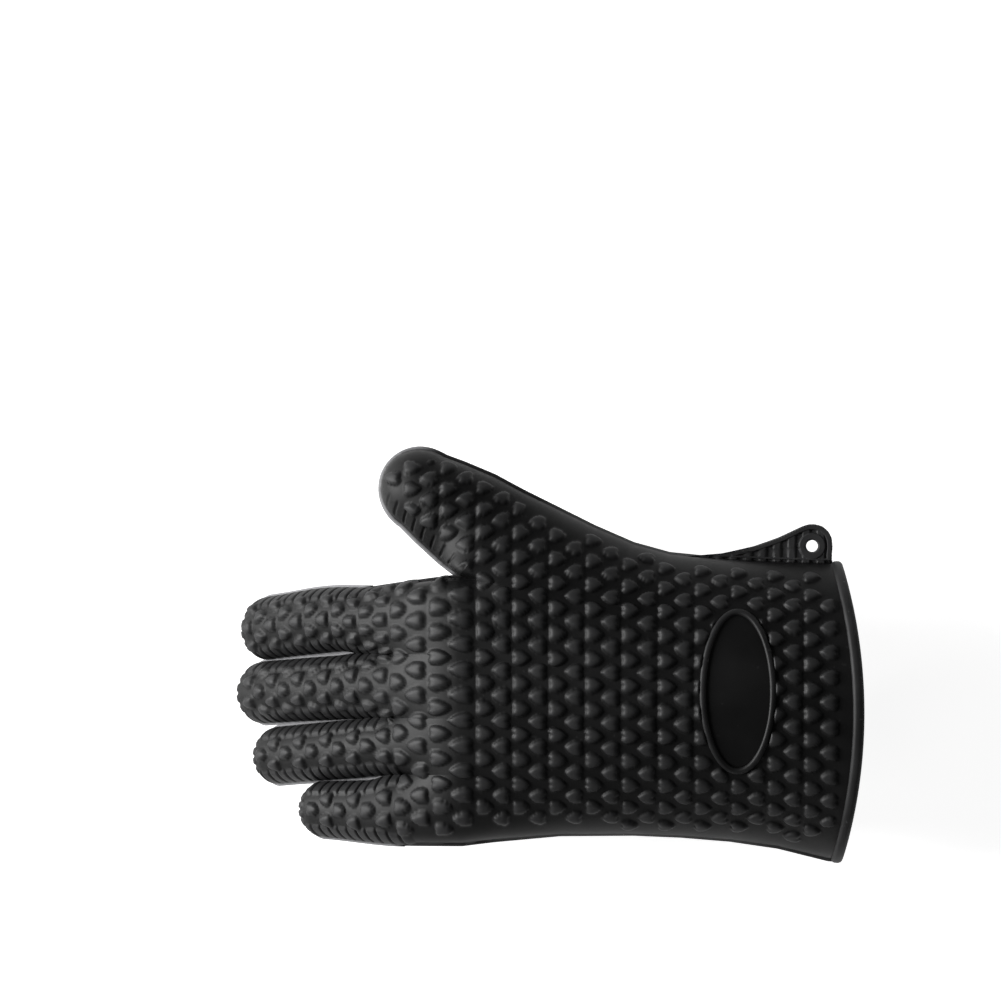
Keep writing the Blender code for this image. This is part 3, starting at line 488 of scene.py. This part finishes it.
print("finger skins")
blends = []
for index, (name, finger) in enumerate(fingers.items()):
    around = np.concatenate([lobe, -lobe[::-1][1:-1]])
    low, high = rootEdges[index], min(rootEdges[index + 1], digit["indexRoot"])
    yRoot = (low + high) / 2 + (high - low) / 2 * np.cos(around)
    begin = webLine(yRoot)
    seam = (finger["root"] + finger["middle"]) / 2
    lower = begin[None] + (seam - begin)[None] * np.linspace(0, 1, digit["lowerRows"])[:, None]
    straight = np.linspace(seam, finger["tip"], digit["upperRows"])[:, None] + 0 * around[None]
    radius = finger["half"] - digit["taper"]
    cap = np.sin(np.linspace(0, math.pi / 2, digit["tipRows"]))[1:, None]
    end = finger["tip"] + radius * cap + 0 * around[None]
    s = np.concatenate([lower, straight[1:], end])
    centre, half, depth = fingerSize(name, s)
    half[-1] = 0
    depth[-1] = 0
    settle = smooth((s - begin[None]) / digit["rootSettle"])
    y = yRoot[None] * (1 - settle) + (centre + half * np.cos(around)) * settle
    rootTall = webZ[-1, index * lobeCount : (index + 1) * lobeCount + 1]
    rootTall = np.concatenate([rootTall, -rootTall[::-1][1:-1]])
    z = rootTall[None] * (1 - settle) + depth * np.sin(around) * settle
    base = bend(s, y, z)
    girth = (rootEdges[index + 1] - rootEdges[index]) / 2 * (1 - settle) + finger["half"] * settle
    arcC = finger["row"] + pattern["fingerSqueeze"] * (math.pi / 2 - np.abs(around)) * girth
    edge = girth * np.minimum(np.abs(around), math.pi - np.abs(around))
    past = np.clip((s - finger["tip"] - 1.0) / (radius - 1.0), 0, 1)
    keep = fadeIn(edge, pattern["sideZone"], pattern["edgeFade"]) * (1 - smooth((past - 0.55) / 0.1))
    zone = smooth((edge - pattern["sideZone"]) / pattern["zoneFade"])

    def wholeOnFinger(r, ahead, around=around, girth=girth, s=s, tip=finger["tip"]):
        place = np.abs(around) * girth + r / pattern["fingerSqueeze"]
        inside = np.minimum(place, math.pi * girth - place) > pattern["sideZone"] + room["finger"]
        return inside & (s + ahead < tip + room["tip"])

    ribs = (1 - zone) * smooth((edge - pattern["ribFrom"]) / pattern["ribFade"])
    ribs = ribs * (1 - smooth((past - 0.15) / 0.15))
    # Painted highlight on the parting rim, from a little past the finger's root onward.
    rimPaintedLight = digit["rimPaintedLight"] * smooth((s - begin) / 6.0)
    rimShare = 1.25 - 0.85 * smooth((past - 0.5) / 0.4)
    high, raisedPaintedLight = relief(s, arcC, z, ribs, keep, wholeOnFinger, rimPaintedLight, rimShare)
    # The tip's rays: ribs that run out from the end of the finger like a sun's.
    ray = np.clip(2.2 * np.cos(digit["rays"] * around)[None] + 1.2, 0, 1)
    ray = ray * smooth((past - 0.22) / 0.12) * (1 - smooth((past - 0.8) / 0.1))
    ray = ray * smooth((edge - 1.5) / 1.0)
    high = np.maximum(high, digit["rayHeight"] * ray)
    # The rays are painted paler as well: painted light on their tops.
    raisedPaintedLight = np.maximum(raisedPaintedLight, digit["rayPaintedLight"] * ray)
    normals, outward = tubeNormals(base)
    place = base + normals * high[..., None]
    seamRow = digit["lowerRows"] - 1
    lobes = slice(index * lobeCount, (index + 1) * lobeCount + 1)
    place[0, : lobeCount + 1] = rootRows[1][0][lobes]
    place[0, lobeCount + 1 :] = rootRows[-1][0][lobes][::-1][1:-1]
    for part, rows in (("lower", slice(0, seamRow + 1)), ("upper", slice(seamRow, None))):
        pieces[name + "_finger_" + part + "_skin"] = ([(place[rows], raisedPaintedLight[rows])], True, outward < 0)
    for part, joint, parents in (("lower", "root", ("hand", name + "_lower")),
                                 ("upper", "middle", (name + "_lower", name + "_upper"))):
        at = finger[joint] + np.array([-1, 1]) * digit["zones"][index]
        spine = bend(at, fingerSize(name, at)[0], np.zeros(2))
        blends.append((name + "_finger_" + part + "_skin", *parents, stand(spine)))

print("thumb skin")
around = np.concatenate([thumbLobe, -thumbLobe[::-1][1:-1]])
across = np.arange(len(thumbLobe))
rootColumn = crotchColumn + np.concatenate([across, across[::-1][1:-1]])
side = np.where(around >= 0, 1.0, -1.0)
rootTall = side * palmZ[-1, rootColumn]
rootLine = bend(palmS[-1, rootColumn], palmY[-1, rootColumn], rootTall)
cap = np.sin(np.linspace(0, math.pi / 2, thumb["tipRows"]))[1:]
straight = np.linspace(0, thumb["tipAt"], thumb["rows"])
t = np.concatenate([straight, thumb["tipAt"] + thumb["tipLength"] * cap])[:, None] + 0 * around[None]
spine, across, up = thumbFrame(t)
half = np.interp(t, thumb["widthAt"], thumb["halfWidth"])
tip = np.sqrt(np.clip(1 - (np.maximum(t - thumb["tipAt"], 0) / thumb["tipLength"]) ** 2, 0, 1))
tip[-1] = 0
settle = smooth(t / thumb["settle"])
tall = (1 - settle) * rootTall + settle * thumb["halfDepth"] * np.sin(around)
base = spine + across * (half * tip * np.cos(around))[..., None] + up * (tall * tip)[..., None]
ground, across0, up0 = thumbFrame(np.zeros_like(t))
home = ground + across0 * (thumb["halfWidth"][0] * np.cos(around))[..., None]
home = home + up0 * (0 * t + rootTall)[..., None]
base = base + (rootLine[None] - home) * (1 - smooth(t / thumb["rootFade"]))[..., None]
# On the thumb the hearts keep the hand's own rows: its places are read straight off the plan.
rootC = palmC[-1, rootColumn]
rootY = palmY[-1, rootColumn]
flatS = -base[..., 0]
middleC = np.interp(rootY[0] + thumb["rowAt"], rootY[: len(thumbLobe)], rootC[: len(thumbLobe)])
planC = middleC + (base[..., 1] - rootY[0] - thumb["rowAt"]) * thumb["rowStretch"]
flatC = rootC[None] + (base[..., 1] - rootY[None]) * thumb["rowStretch"]
toPlan = smooth(t / thumb["planFade"])
flatC = flatC * (1 - toPlan) + planC * toPlan
edge = half * (1 - np.abs(np.cos(around)))
crotchSide = np.cos(around)[None] < 0
plainCrotch = thumb["plainCrotch"] * smooth((t - 1) / 6)
plain = np.where(crotchSide, plainCrotch, thumb["plainOuter"])
keep = fadeIn(edge, plain, thumb["plainFade"]) * (1 - smooth((t - thumb["tipAt"] - 12.5) / 1.5))
keep = keep * offCrotch(flatS, base[..., 1])
cuts = smooth((edge - 0.9) / 0.4) * (1 - smooth((edge - 5.8) / 0.5)) * crotchSide * smooth((t - 4) / 2)
cuts = cuts * (1 - smooth((t - thumb["tipAt"] - 7) / 2))
# Along and across the thumb from a place on it to the middle of that place's heart.
lean = math.radians(thumb["angle"])


def wholeOnThumb(r, ahead):
    onward = ahead * math.cos(lean) - r / thumb["rowStretch"] * math.sin(lean)
    aside = -ahead * math.sin(lean) - r / thumb["rowStretch"] * math.cos(lean)
    there = half * np.cos(around) + aside
    left = np.interp(t + onward, thumb["widthAt"], thumb["halfWidth"])
    beyond = np.maximum(t + onward - thumb["tipAt"], 0) / thumb["tipLength"]
    left = left * np.sqrt(np.clip(1 - beyond**2, 0, 1)) - np.abs(there)
    return left > np.where(there < 0, plainCrotch, thumb["plainOuter"]) + room["thumb"]


# Painted highlight on the thumb's rim where it is seen: along the crotch side, and past the tip.
seenRim = np.where(crotchSide, smooth(t / 5.0), smooth((t - thumb["tipAt"] - 2.0) / 10.0))
rimPaintedLight = paintedLightAndShade["rim"] + thumb["rimPaintedLight"] * seenRim
rimShare = 1.0 + thumb["rimShare"] * seenRim
high, raisedPaintedLight = relief(flatS, flatC, tall * tip, 0 * cuts, keep, wholeOnThumb, rimPaintedLight, rimShare)
cut = (1 - ribsAt(t)) * cuts
high = high - thumb["cutDepth"] * cut
# The cuts are painted darker: painted shade inside them.
raisedPaintedLight = raisedPaintedLight - thumb["cutPaintedShade"] * cut
normals, outward = tubeNormals(base)
place = base + normals * high[..., None]
place[0, : len(thumbLobe)] = rootRows[1][1]
place[0, len(thumbLobe) :] = rootRows[-1][1][::-1][1:-1]
seamRow = int(np.searchsorted(t[:, 0], thumb["seam"]))
for part, rows in (("lower", slice(0, seamRow + 1)), ("upper", slice(seamRow, None))):
    pieces["thumb_" + part + "_skin"] = ([(place[rows], raisedPaintedLight[rows])], True, outward < 0)
for part, joint, parents in (("lower", "root", ("hand", "thumb_lower")),
                             ("upper", "middle", ("thumb_lower", "thumb_upper"))):
    at, zone = thumb[joint + "At"], thumb[joint + "Zone"]
    ends = thumbFrame(np.array([at - zone, at + zone]))[0]
    blends.append(("thumb_" + part + "_skin", *parents, stand(ends)))


def newMesh(name, points, quads, raisedPaintedLight=None):
    mesh = bpy.data.meshes.new(name)
    mesh.from_pydata(points.tolist(), [], quads)
    mesh.polygons.foreach_set("use_smooth", np.ones(len(mesh.polygons), bool))
    if raisedPaintedLight is not None:
        kept = mesh.attributes.new("raisedPaintedLight", "FLOAT", "POINT")
        kept.data.foreach_set("value", np.ascontiguousarray(raisedPaintedLight, np.float32))
    mesh.update()
    made = bpy.data.objects.new(name, mesh)
    bpy.context.scene.collection.objects.link(made)
    return made


# The quads of a grid of points: wrap closes it across, and loop closes it from end to end.
def gridQuads(rows, columns, wrap, first, loop=False):
    index = first + np.arange(rows * columns).reshape(rows, columns)
    if loop:
        index = np.concatenate([index, index[:1]])
    if wrap:
        index = np.concatenate([index, index[:, :1]], axis=1)
    corners = [index[:-1, :-1], index[:-1, 1:], index[1:, 1:], index[1:, :-1]]
    return np.stack(corners, axis=-1).reshape(-1, 4)


# A closed mesh with a negative volume is inside out, so its faces are turned round.
def facingOut(points, quads):
    corner = points[quads]
    volume = np.sum(corner[:, 0] * np.cross(corner[:, 1], corner[:, 2] + corner[:, 3]))
    return quads if volume > 0 else quads[:, ::-1]


def newGroup(name, inputs, outputs):
    group = bpy.data.node_groups.new(name, "ShaderNodeTree")
    for label, kind, value in inputs:
        socket = group.interface.new_socket(label, in_out="INPUT", socket_type=kind)
        if value is not None:
            socket.default_value = value
    for label, kind in outputs:
        group.interface.new_socket(label, in_out="OUTPUT", socket_type=kind)
    return group, group.nodes.new("NodeGroupInput"), group.nodes.new("NodeGroupOutput")


# Black silicone, with a fine grain and dust specks. Where it stands up it is painted paler as painted
# light, and in its grooves and gaps it is painted darker as painted shade.
silicone = {
    "dark": 0.0026, "paintedLightPale": 0.0240, "specular": 0.28, "dust": 0.030, "dustRough": 0.08, "rough": 0.53,
    "roughSpread": 0.10, "grain": 900.0, "grainHeight": 0.00004, "grainStrength": 0.35, "patch": 28.0,
    "speck": 420.0, "plainPaintedLight": 6.0, "tabPaintedLight": 15.0, "blue": 1.03,
}
socketsIn = [("RaisedPaintedLight", "NodeSocketFloat", 0.0), ("Tone", "NodeSocketFloat", 1.0)]
socketsOut = [("Colour", "NodeSocketColor"), ("Rough", "NodeSocketFloat"), ("Bump", "NodeSocketFloat")]
group, into, out = newGroup("siliconeFinishAndPaintedLight", socketsIn, socketsOut)
nodes, links = group.nodes, group.links
place = nodes.new("ShaderNodeTexCoord")


def noise(scale, detail):
    made = nodes.new("ShaderNodeTexNoise")
    made.inputs["Scale"].default_value = scale
    made.inputs["Detail"].default_value = detail
    links.new(place.outputs["Object"], made.inputs["Vector"])
    return made.outputs["Fac"]


def mapped(value, low, high, toLow, toHigh):
    made = nodes.new("ShaderNodeMapRange")
    for label, number in (("From Min", low), ("From Max", high), ("To Min", toLow), ("To Max", toHigh)):
        made.inputs[label].default_value = number
    links.new(value, made.inputs["Value"])
    return made.outputs["Result"]


def sums(kind, first, second):
    made = nodes.new("ShaderNodeMath")
    made.operation = kind
    for k, value in enumerate((first, second)):
        if isinstance(value, (int, float)):
            made.inputs[k].default_value = value
        else:
            links.new(value, made.inputs[k])
    return made.outputs[0]


patches = noise(silicone["patch"], 3.0)
grain = noise(silicone["grain"], 2.0)
speck = mapped(noise(silicone["speck"], 2.0), 0.68, 0.76, 0.0, 1.0)
# The colour runs from dark to pale by the painted light and shade; random patches and dust specks are then
# added.
shade = sums("ADD", sums("MULTIPLY", into.outputs["RaisedPaintedLight"], silicone["paintedLightPale"] - silicone["dark"]),
             silicone["dark"])
tone = sums("ADD", shade, mapped(patches, 0.35, 0.7, -0.0015, 0.003))
tone = sums("ADD", tone, sums("MULTIPLY", speck, silicone["dust"] * 0.25))
tone = sums("MULTIPLY", tone, into.outputs["Tone"])
colour = nodes.new("ShaderNodeCombineColor")
for label in ("Red", "Green"):
    links.new(tone, colour.inputs[label])
links.new(sums("MULTIPLY", tone, silicone["blue"]), colour.inputs["Blue"])
links.new(colour.outputs["Color"], out.inputs["Colour"])
rough = sums("ADD", mapped(patches, 0.3, 0.7, silicone["rough"] - silicone["roughSpread"] / 2,
                           silicone["rough"] + silicone["roughSpread"] / 2),
             sums("MULTIPLY", speck, silicone["dustRough"]))
links.new(rough, out.inputs["Rough"])
links.new(grain, out.inputs["Bump"])


def siliconeMaterial(name, tone, withPaintedLight):
    made = bpy.data.materials.new(name)
    made.use_nodes = True
    tree = made.node_tree
    shader = tree.nodes["Principled BSDF"]
    used = tree.nodes.new("ShaderNodeGroup")
    used.node_tree = group
    used.inputs["Tone"].default_value = tone
    if withPaintedLight:
        kept = tree.nodes.new("ShaderNodeAttribute")
        kept.attribute_name = "raisedPaintedLight"
        tree.links.new(kept.outputs["Fac"], used.inputs["RaisedPaintedLight"])
    shader.inputs["Specular IOR Level"].default_value = silicone["specular"]
    bump = tree.nodes.new("ShaderNodeBump")
    bump.inputs["Strength"].default_value = silicone["grainStrength"]
    bump.inputs["Distance"].default_value = silicone["grainHeight"]
    tree.links.new(used.outputs["Bump"], bump.inputs["Height"])
    tree.links.new(bump.outputs["Normal"], shader.inputs["Normal"])
    tree.links.new(used.outputs["Colour"], shader.inputs["Base Color"])
    tree.links.new(used.outputs["Rough"], shader.inputs["Roughness"])
    return made


skinMaterial = siliconeMaterial("blackSilicone", 1.0, True)
# The bead, the oval rims and the tab are the same black silicone made many times paler: lit copies, as
# painted light.
plainPaintedLightMaterial = siliconeMaterial("plainSiliconePaintedLight", silicone["plainPaintedLight"], False)
tabPaintedLightMaterial = siliconeMaterial("tabSiliconePaintedLight", silicone["tabPaintedLight"], False)
insideMaterial = siliconeMaterial("insideSilicone", 1.0, False)

print("building skins")
made = {}
for name, (grids, wrap, flipped) in pieces.items():
    points, raisedPaintedLight, quads = [], [], []
    total = 0
    for place, up in grids:
        rows, columns = place.shape[:2]
        quads.append(gridQuads(rows, columns, wrap, total))
        points.append(place.reshape(-1, 3))
        raisedPaintedLight.append(up.reshape(-1))
        total += rows * columns
    points = np.concatenate(points)
    quads = np.concatenate(quads)
    raisedPaintedLight = np.concatenate(raisedPaintedLight)
    _, first, joined = np.unique(np.round(points, 4), axis=0, return_index=True, return_inverse=True)
    quads = joined.reshape(-1)[quads]
    quads = quads[:, ::-1] if flipped else quads
    faces = [face if len(set(face)) == 4 else list(dict.fromkeys(face)) for face in quads.tolist()]
    faces = [face for face in faces if len(face) > 2]
    made[name] = newMesh(name, stand(points[first]), faces, raisedPaintedLight[first])
    made[name].data.materials.append(skinMaterial)

for name, side in (("hand_back_skin", 1), ("hand_palm_skin", -1)):
    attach(made[name], "hand")
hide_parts("hand_back_shell")
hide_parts("hand_palm_shell")
for name, first, second, ends in blends:
    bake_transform(made[name])
for name in fingers:
    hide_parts(name + "_root_band", name + "_base")
    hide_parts(name + "_middle_band", name + "_tip")
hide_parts("thumb_root_band", "thumb_base")
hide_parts("thumb_middle_band", "thumb_tip")

print("inside of the hand")


def insideRows(side):
    found = []
    for s, y, z in ((palmS, palmY, palmZ), (webS, webY, webZ)):
        base = bend(s, y, side * z)
        normals = gridNormals(base, False) * side
        inner = base - normals * hand["wall"]
        found.append(inner[::6, ::4] if s is palmS else inner[::10, ::4])
    return found


for side, name in ((1, "hand_back_inside"), (-1, "hand_palm_inside")):
    points, quads, total = [], [], 0
    for place in insideRows(side):
        rows, columns = place.shape[:2]
        quads.append(gridQuads(rows, columns, False, total))
        points.append(place.reshape(-1, 3))
        total += rows * columns
    quads = np.concatenate(quads)
    quads = quads if side < 0 else quads[:, ::-1]
    piece = newMesh(name, stand(np.concatenate(points)), quads.tolist())
    piece.data.materials.append(insideMaterial)
    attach(piece, "hand")


# A closed bar: one profile carried round a closed line.
def loopBar(name, centres, sideways, outward, profile, material):
    place = centres[:, None] + sideways[:, None] * profile[None, :, :1]
    place = place + outward[:, None] * profile[None, :, 1:]
    points = place.reshape(-1, 3)
    quads = facingOut(points, gridQuads(len(centres), len(profile), True, 0, loop=True))
    piece = newMesh(name, stand(points), quads.tolist())
    piece.data.materials.append(material)
    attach(piece, "hand")
    return piece


print("bead and oval rims")
turn = np.linspace(0.0, 2 * math.pi, 420, endpoint=False)
wide = hand["cuffHalfWidth"] - bead["inset"]
deep = hand["cuffHalfDepth"] - bead["inset"]
beadY = wide * np.cos(turn)
beadLine = np.stack([-(rimLine(beadY) - bead["radius"] - bead["gap"]), beadY, deep * np.sin(turn)], axis=-1)
beadOut = np.stack([0 * turn, np.cos(turn) / wide, np.sin(turn) / deep], axis=-1)
beadOut /= np.linalg.norm(beadOut, axis=1)[:, None]
beadSide = np.stack([1 + 0 * turn, 0 * turn, 0 * turn], axis=-1)
roundTurn = np.linspace(0.0, 2 * math.pi, 24, endpoint=False)
inward = np.cos(roundTurn) < 0
profile = np.stack([np.cos(roundTurn) * bead["stretch"] - bead["lap"] * inward, np.sin(roundTurn)], axis=-1)
profile = bead["radius"] * profile
cuffBead = loopBar("cuff_bead_ring", beadLine, beadSide, beadOut, profile, plainPaintedLightMaterial)
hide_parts("cuff_bead")

for name, side, cad in (("back_oval_rim", 1, "back_badge_rim"), ("palm_oval_rim", -1, "palm_badge_rim")):
    turn = np.linspace(0.0, 2 * math.pi, 300, endpoint=False)
    s = badge["centre"][0] + badge["halfLength"] * np.cos(turn)
    y = badge["centre"][1] + badge["halfWidth"] * np.sin(turn)
    base = bend(palmS, palmY, side * palmZ)
    normals = (gridNormals(base, False) * side)[:150]
    base = base[:150]
    flatBase = base.reshape(-1, 3)
    flatNormals = normals.reshape(-1, 3)
    want = np.stack([-s, y], axis=-1)
    nearest = np.array([np.argmin(np.sum((flatBase[:, :2] - w) ** 2, axis=1)) for w in want])
    point, normal = flatBase[nearest], flatNormals[nearest]
    away = want - point[:, :2]
    z = point[:, 2] - (normal[:, 0] * away[:, 0] + normal[:, 1] * away[:, 1]) / normal[:, 2]
    line = np.stack([-s, y, z], axis=-1)
    for _ in range(6):
        normal = (normal + np.roll(normal, 1, axis=0) + np.roll(normal, -1, axis=0)) / 3
        line[:, 2] = (line[:, 2] + (np.roll(line[:, 2], 1) + np.roll(line[:, 2], -1)) / 2) / 2
    normal /= np.linalg.norm(normal, axis=1)[:, None]
    tangent = np.roll(line, -1, axis=0) - np.roll(line, 1, axis=0)
    sideways = np.cross(tangent, normal)
    sideways /= np.linalg.norm(sideways, axis=1)[:, None]
    bar = np.linspace(0, math.pi, 15)
    profile = np.stack([np.sign(np.cos(bar)) * np.abs(np.cos(bar)) ** badge["power"] * badge["half"],
                        badge["height"] * np.sin(bar) ** badge["power"]], axis=-1)
    foot = [[-badge["half"], -badge["sink"]], [badge["half"], -badge["sink"]]]
    profile = np.concatenate([profile, foot])
    piece = loopBar(name, line, sideways, normal, profile, plainPaintedLightMaterial)
    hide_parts(cad)

print("hanging tab")
# Its thickness is the greatest of plate, ribs, edge and land, rounded off at the outline and the hole.
top = np.array([(62.0, 62.1), (52.0, 62.5), (46.0, 63.3), (41.6, 64.2), (32.0, 66.4), (22.4, 69.8),
                (12.8, 74.3), (10.4, 75.1), (7.8, 75.2), (4.6, 74.3), (2.2, 72.2), (0.9, 69.6),
                (0.6, 66.0), (0.9, 62.0)])
top[:, 0] *= -1
bottomX = np.linspace(-0.9, -62.0, 40)
bottom = np.stack([bottomX, np.interp(-bottomX, hand["upperAt"], hand["upperY"]) - 0.2], axis=-1)
bottom[0, 1] += 0.9
ring = np.concatenate([top, bottom])
closed = np.concatenate([ring, ring[:1]])
lengths = np.concatenate([[0], np.cumsum(np.linalg.norm(np.diff(closed, axis=0), axis=1))])
holeAt = np.array([-tab["land"][0], tab["land"][1]])
spread = np.linspace(0, lengths[-1], tab["columns"], endpoint=False)
outline = np.stack([np.interp(spread, lengths, closed[:, k]) for k in (0, 1)], axis=-1)
for _ in range(10):
    outline = (outline + (np.roll(outline, 1, axis=0) + np.roll(outline, -1, axis=0)) / 2) / 2
ways = outline - holeAt
far = np.linalg.norm(ways, axis=1)
ways = ways / far[:, None]
share = np.linspace(0, 1, tab["rows"])
reach = tab["holeRadius"] + (far[:, None] - tab["holeRadius"]) * share[None]
spot = holeAt + ways[:, None] * reach[..., None]
gapTo = np.sqrt(np.min(np.sum((spot[:, :, None] - outline[None, None, ::5]) ** 2, axis=-1), axis=-1))
onTop = spot[..., 1] > np.interp(-spot[..., 0], hand["upperAt"], hand["upperY"]) + tab["border"]
edgeBand = (1 - smooth((gapTo - tab["edgeWidth"]) / tab["soft"])) * onTop
ribX = np.mod(spot[..., 0] + tab["ribStart"] + tab["ribPitch"] / 2, tab["ribPitch"]) - tab["ribPitch"] / 2
rib = 1 - smooth((np.abs(ribX) - tab["ribWidth"] / 2) / tab["ribSoft"])
land = 1 - smooth((np.linalg.norm(spot - holeAt, axis=-1) - tab["landRadius"]) / tab["soft"])
thick = tab["plate"] + (tab["rib"] - tab["plate"]) * rib
thick = np.maximum(thick, tab["plate"] + (tab["edge"] - tab["plate"]) * edgeBand)
thick = np.maximum(thick, tab["plate"] + (tab["landHeight"] - tab["plate"]) * land)
roundOff = np.sqrt(np.clip(1 - (1 - np.clip(gapTo / tab["rounding"], 0, 1)) ** 2, 0, 1))
roundOff = np.minimum(roundOff, 0.55 + 0.45 * smooth((reach - tab["holeRadius"]) / tab["holeRounding"]))
thick = thick * roundOff
front = np.concatenate([spot, thick[..., None]], axis=-1)
back = np.concatenate([spot, -thick[..., None]], axis=-1)[:, ::-1]
place = np.concatenate([front, back[:, 1:]], axis=1)
place = np.transpose(place, (1, 0, 2))
rows, columns = place.shape[:2]
points = place.reshape(-1, 3)
quads = facingOut(points, gridQuads(rows, columns, True, 0, loop=True))
tabPiece = newMesh("hanging_tab", stand(points), quads.tolist())
tabPiece.data.materials.append(tabPaintedLightMaterial)
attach(tabPiece, "hand")
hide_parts("hang_tab")

print("floor, camera and lights")
studio = {
    "floor": 0.9, "floorRough": 0.9, "floorBelow": 0.0002, "glow": 0.86, "spill": 0.25, "half": 1.5,
    "lens": 629.5, "distance": 7000.0, "aim": (-133.4, 84.6), "lit": (0, 0, 0.03),
    "skyHeight": (0.1, 0.8), "skyLight": (0.2, 0.02),
}
scene = bpy.context.scene
scene.view_settings.view_transform = "Standard"
corners = studio["half"] * np.array([[-1.0, -1, 0], [1, -1, 0], [1, 1, 0], [-1, 1, 0]])
corners[:, 2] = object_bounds()[0][2] - studio["floorBelow"]
floorMesh = newMesh("floor", corners, [[0, 1, 2, 3]])
floorMaterial = bpy.data.materials.new("paleFloor")
floorMaterial.use_nodes = True
floorShader = floorMaterial.node_tree.nodes["Principled BSDF"]
floorShader.inputs["Base Color"].default_value = (studio["floor"], studio["floor"], studio["floor"], 1)
floorShader.inputs["Roughness"].default_value = studio["floorRough"]
floorShader.inputs["Emission Color"].default_value = (1, 1, 1, 1)
floorNodes = floorMaterial.node_tree
seenFloor = floorNodes.nodes.new("ShaderNodeLightPath")
glow = floorNodes.nodes.new("ShaderNodeMapRange")
glow.inputs["To Min"].default_value = studio["spill"]
glow.inputs["To Max"].default_value = studio["glow"]
floorNodes.links.new(seenFloor.outputs["Is Camera Ray"], glow.inputs["Value"])
floorNodes.links.new(glow.outputs["Result"], floorShader.inputs["Emission Strength"])
floorMesh.data.materials.append(floorMaterial)

across = tipped(np.array([1.0, 0, 0]))
upward = tipped(np.array([0, 0, 1.0]))
sideways = np.array([0.0, 1.0, 0.0])
aim = np.array([studio["aim"][0], studio["aim"][1], 0.0])
eye = stand(aim + np.array([0, 0, studio["distance"]]))
camera = bpy.data.objects.new("camera", bpy.data.cameras.new("camera"))
camera.data.lens = studio["lens"]
camera.data.sensor_width = 36.0
camera.data.clip_end = 50.0
turned = Matrix((across.tolist(), sideways.tolist(), upward.tolist())).transposed().to_4x4()
turned.translation = Vector(eye.tolist())
camera.matrix_world = turned
scene.collection.objects.link(camera)
scene.camera = camera

lights = {
    "key": {"at": (-1.9, 0.35, 0.95), "size": (1.1, 1.6), "watts": 78.0},
    "rim": {"at": (1.6, 1.5, 1.3), "size": (1.2, 1.2), "watts": 3.0},
    "fill": {"at": (-0.5, -1.9, 1.2), "size": (1.5, 0.9), "watts": 3.0},
}
for name, light in lights.items():
    lamp = bpy.data.lights.new(name, "AREA")
    lamp.shape = "RECTANGLE"
    lamp.size, lamp.size_y = light["size"]
    lamp.energy = light["watts"]
    holder = bpy.data.objects.new(name, lamp)
    holder.location = light["at"]
    ahead = Vector(studio["lit"]) - Vector(light["at"])
    holder.rotation_euler = ahead.to_track_quat("-Z", "Y").to_euler()
    scene.collection.objects.link(holder)
world = bpy.data.worlds.new("studio")
world.use_nodes = True
world.node_tree.nodes["Background"].inputs["Color"].default_value = (1, 1, 1, 1)
sky = world.node_tree.nodes
skyLinks = world.node_tree.links
ways = sky.new("ShaderNodeTexCoord")
split = sky.new("ShaderNodeSeparateXYZ")
ramp = sky.new("ShaderNodeMapRange")
skyRange = studio["skyHeight"] + studio["skyLight"]
for label, value in zip(("From Min", "From Max", "To Min", "To Max"), skyRange):
    ramp.inputs[label].default_value = value
skyLinks.new(ways.outputs["Generated"], split.inputs[0])
skyLinks.new(split.outputs["Z"], ramp.inputs["Value"])
seen = sky.new("ShaderNodeLightPath")
strength = sky.new("ShaderNodeMath")
strength.operation = "MAXIMUM"
skyLinks.new(ramp.outputs["Result"], strength.inputs[0])
skyLinks.new(seen.outputs["Is Camera Ray"], strength.inputs[1])
skyLinks.new(strength.outputs[0], sky["Background"].inputs["Strength"])
scene.world = world
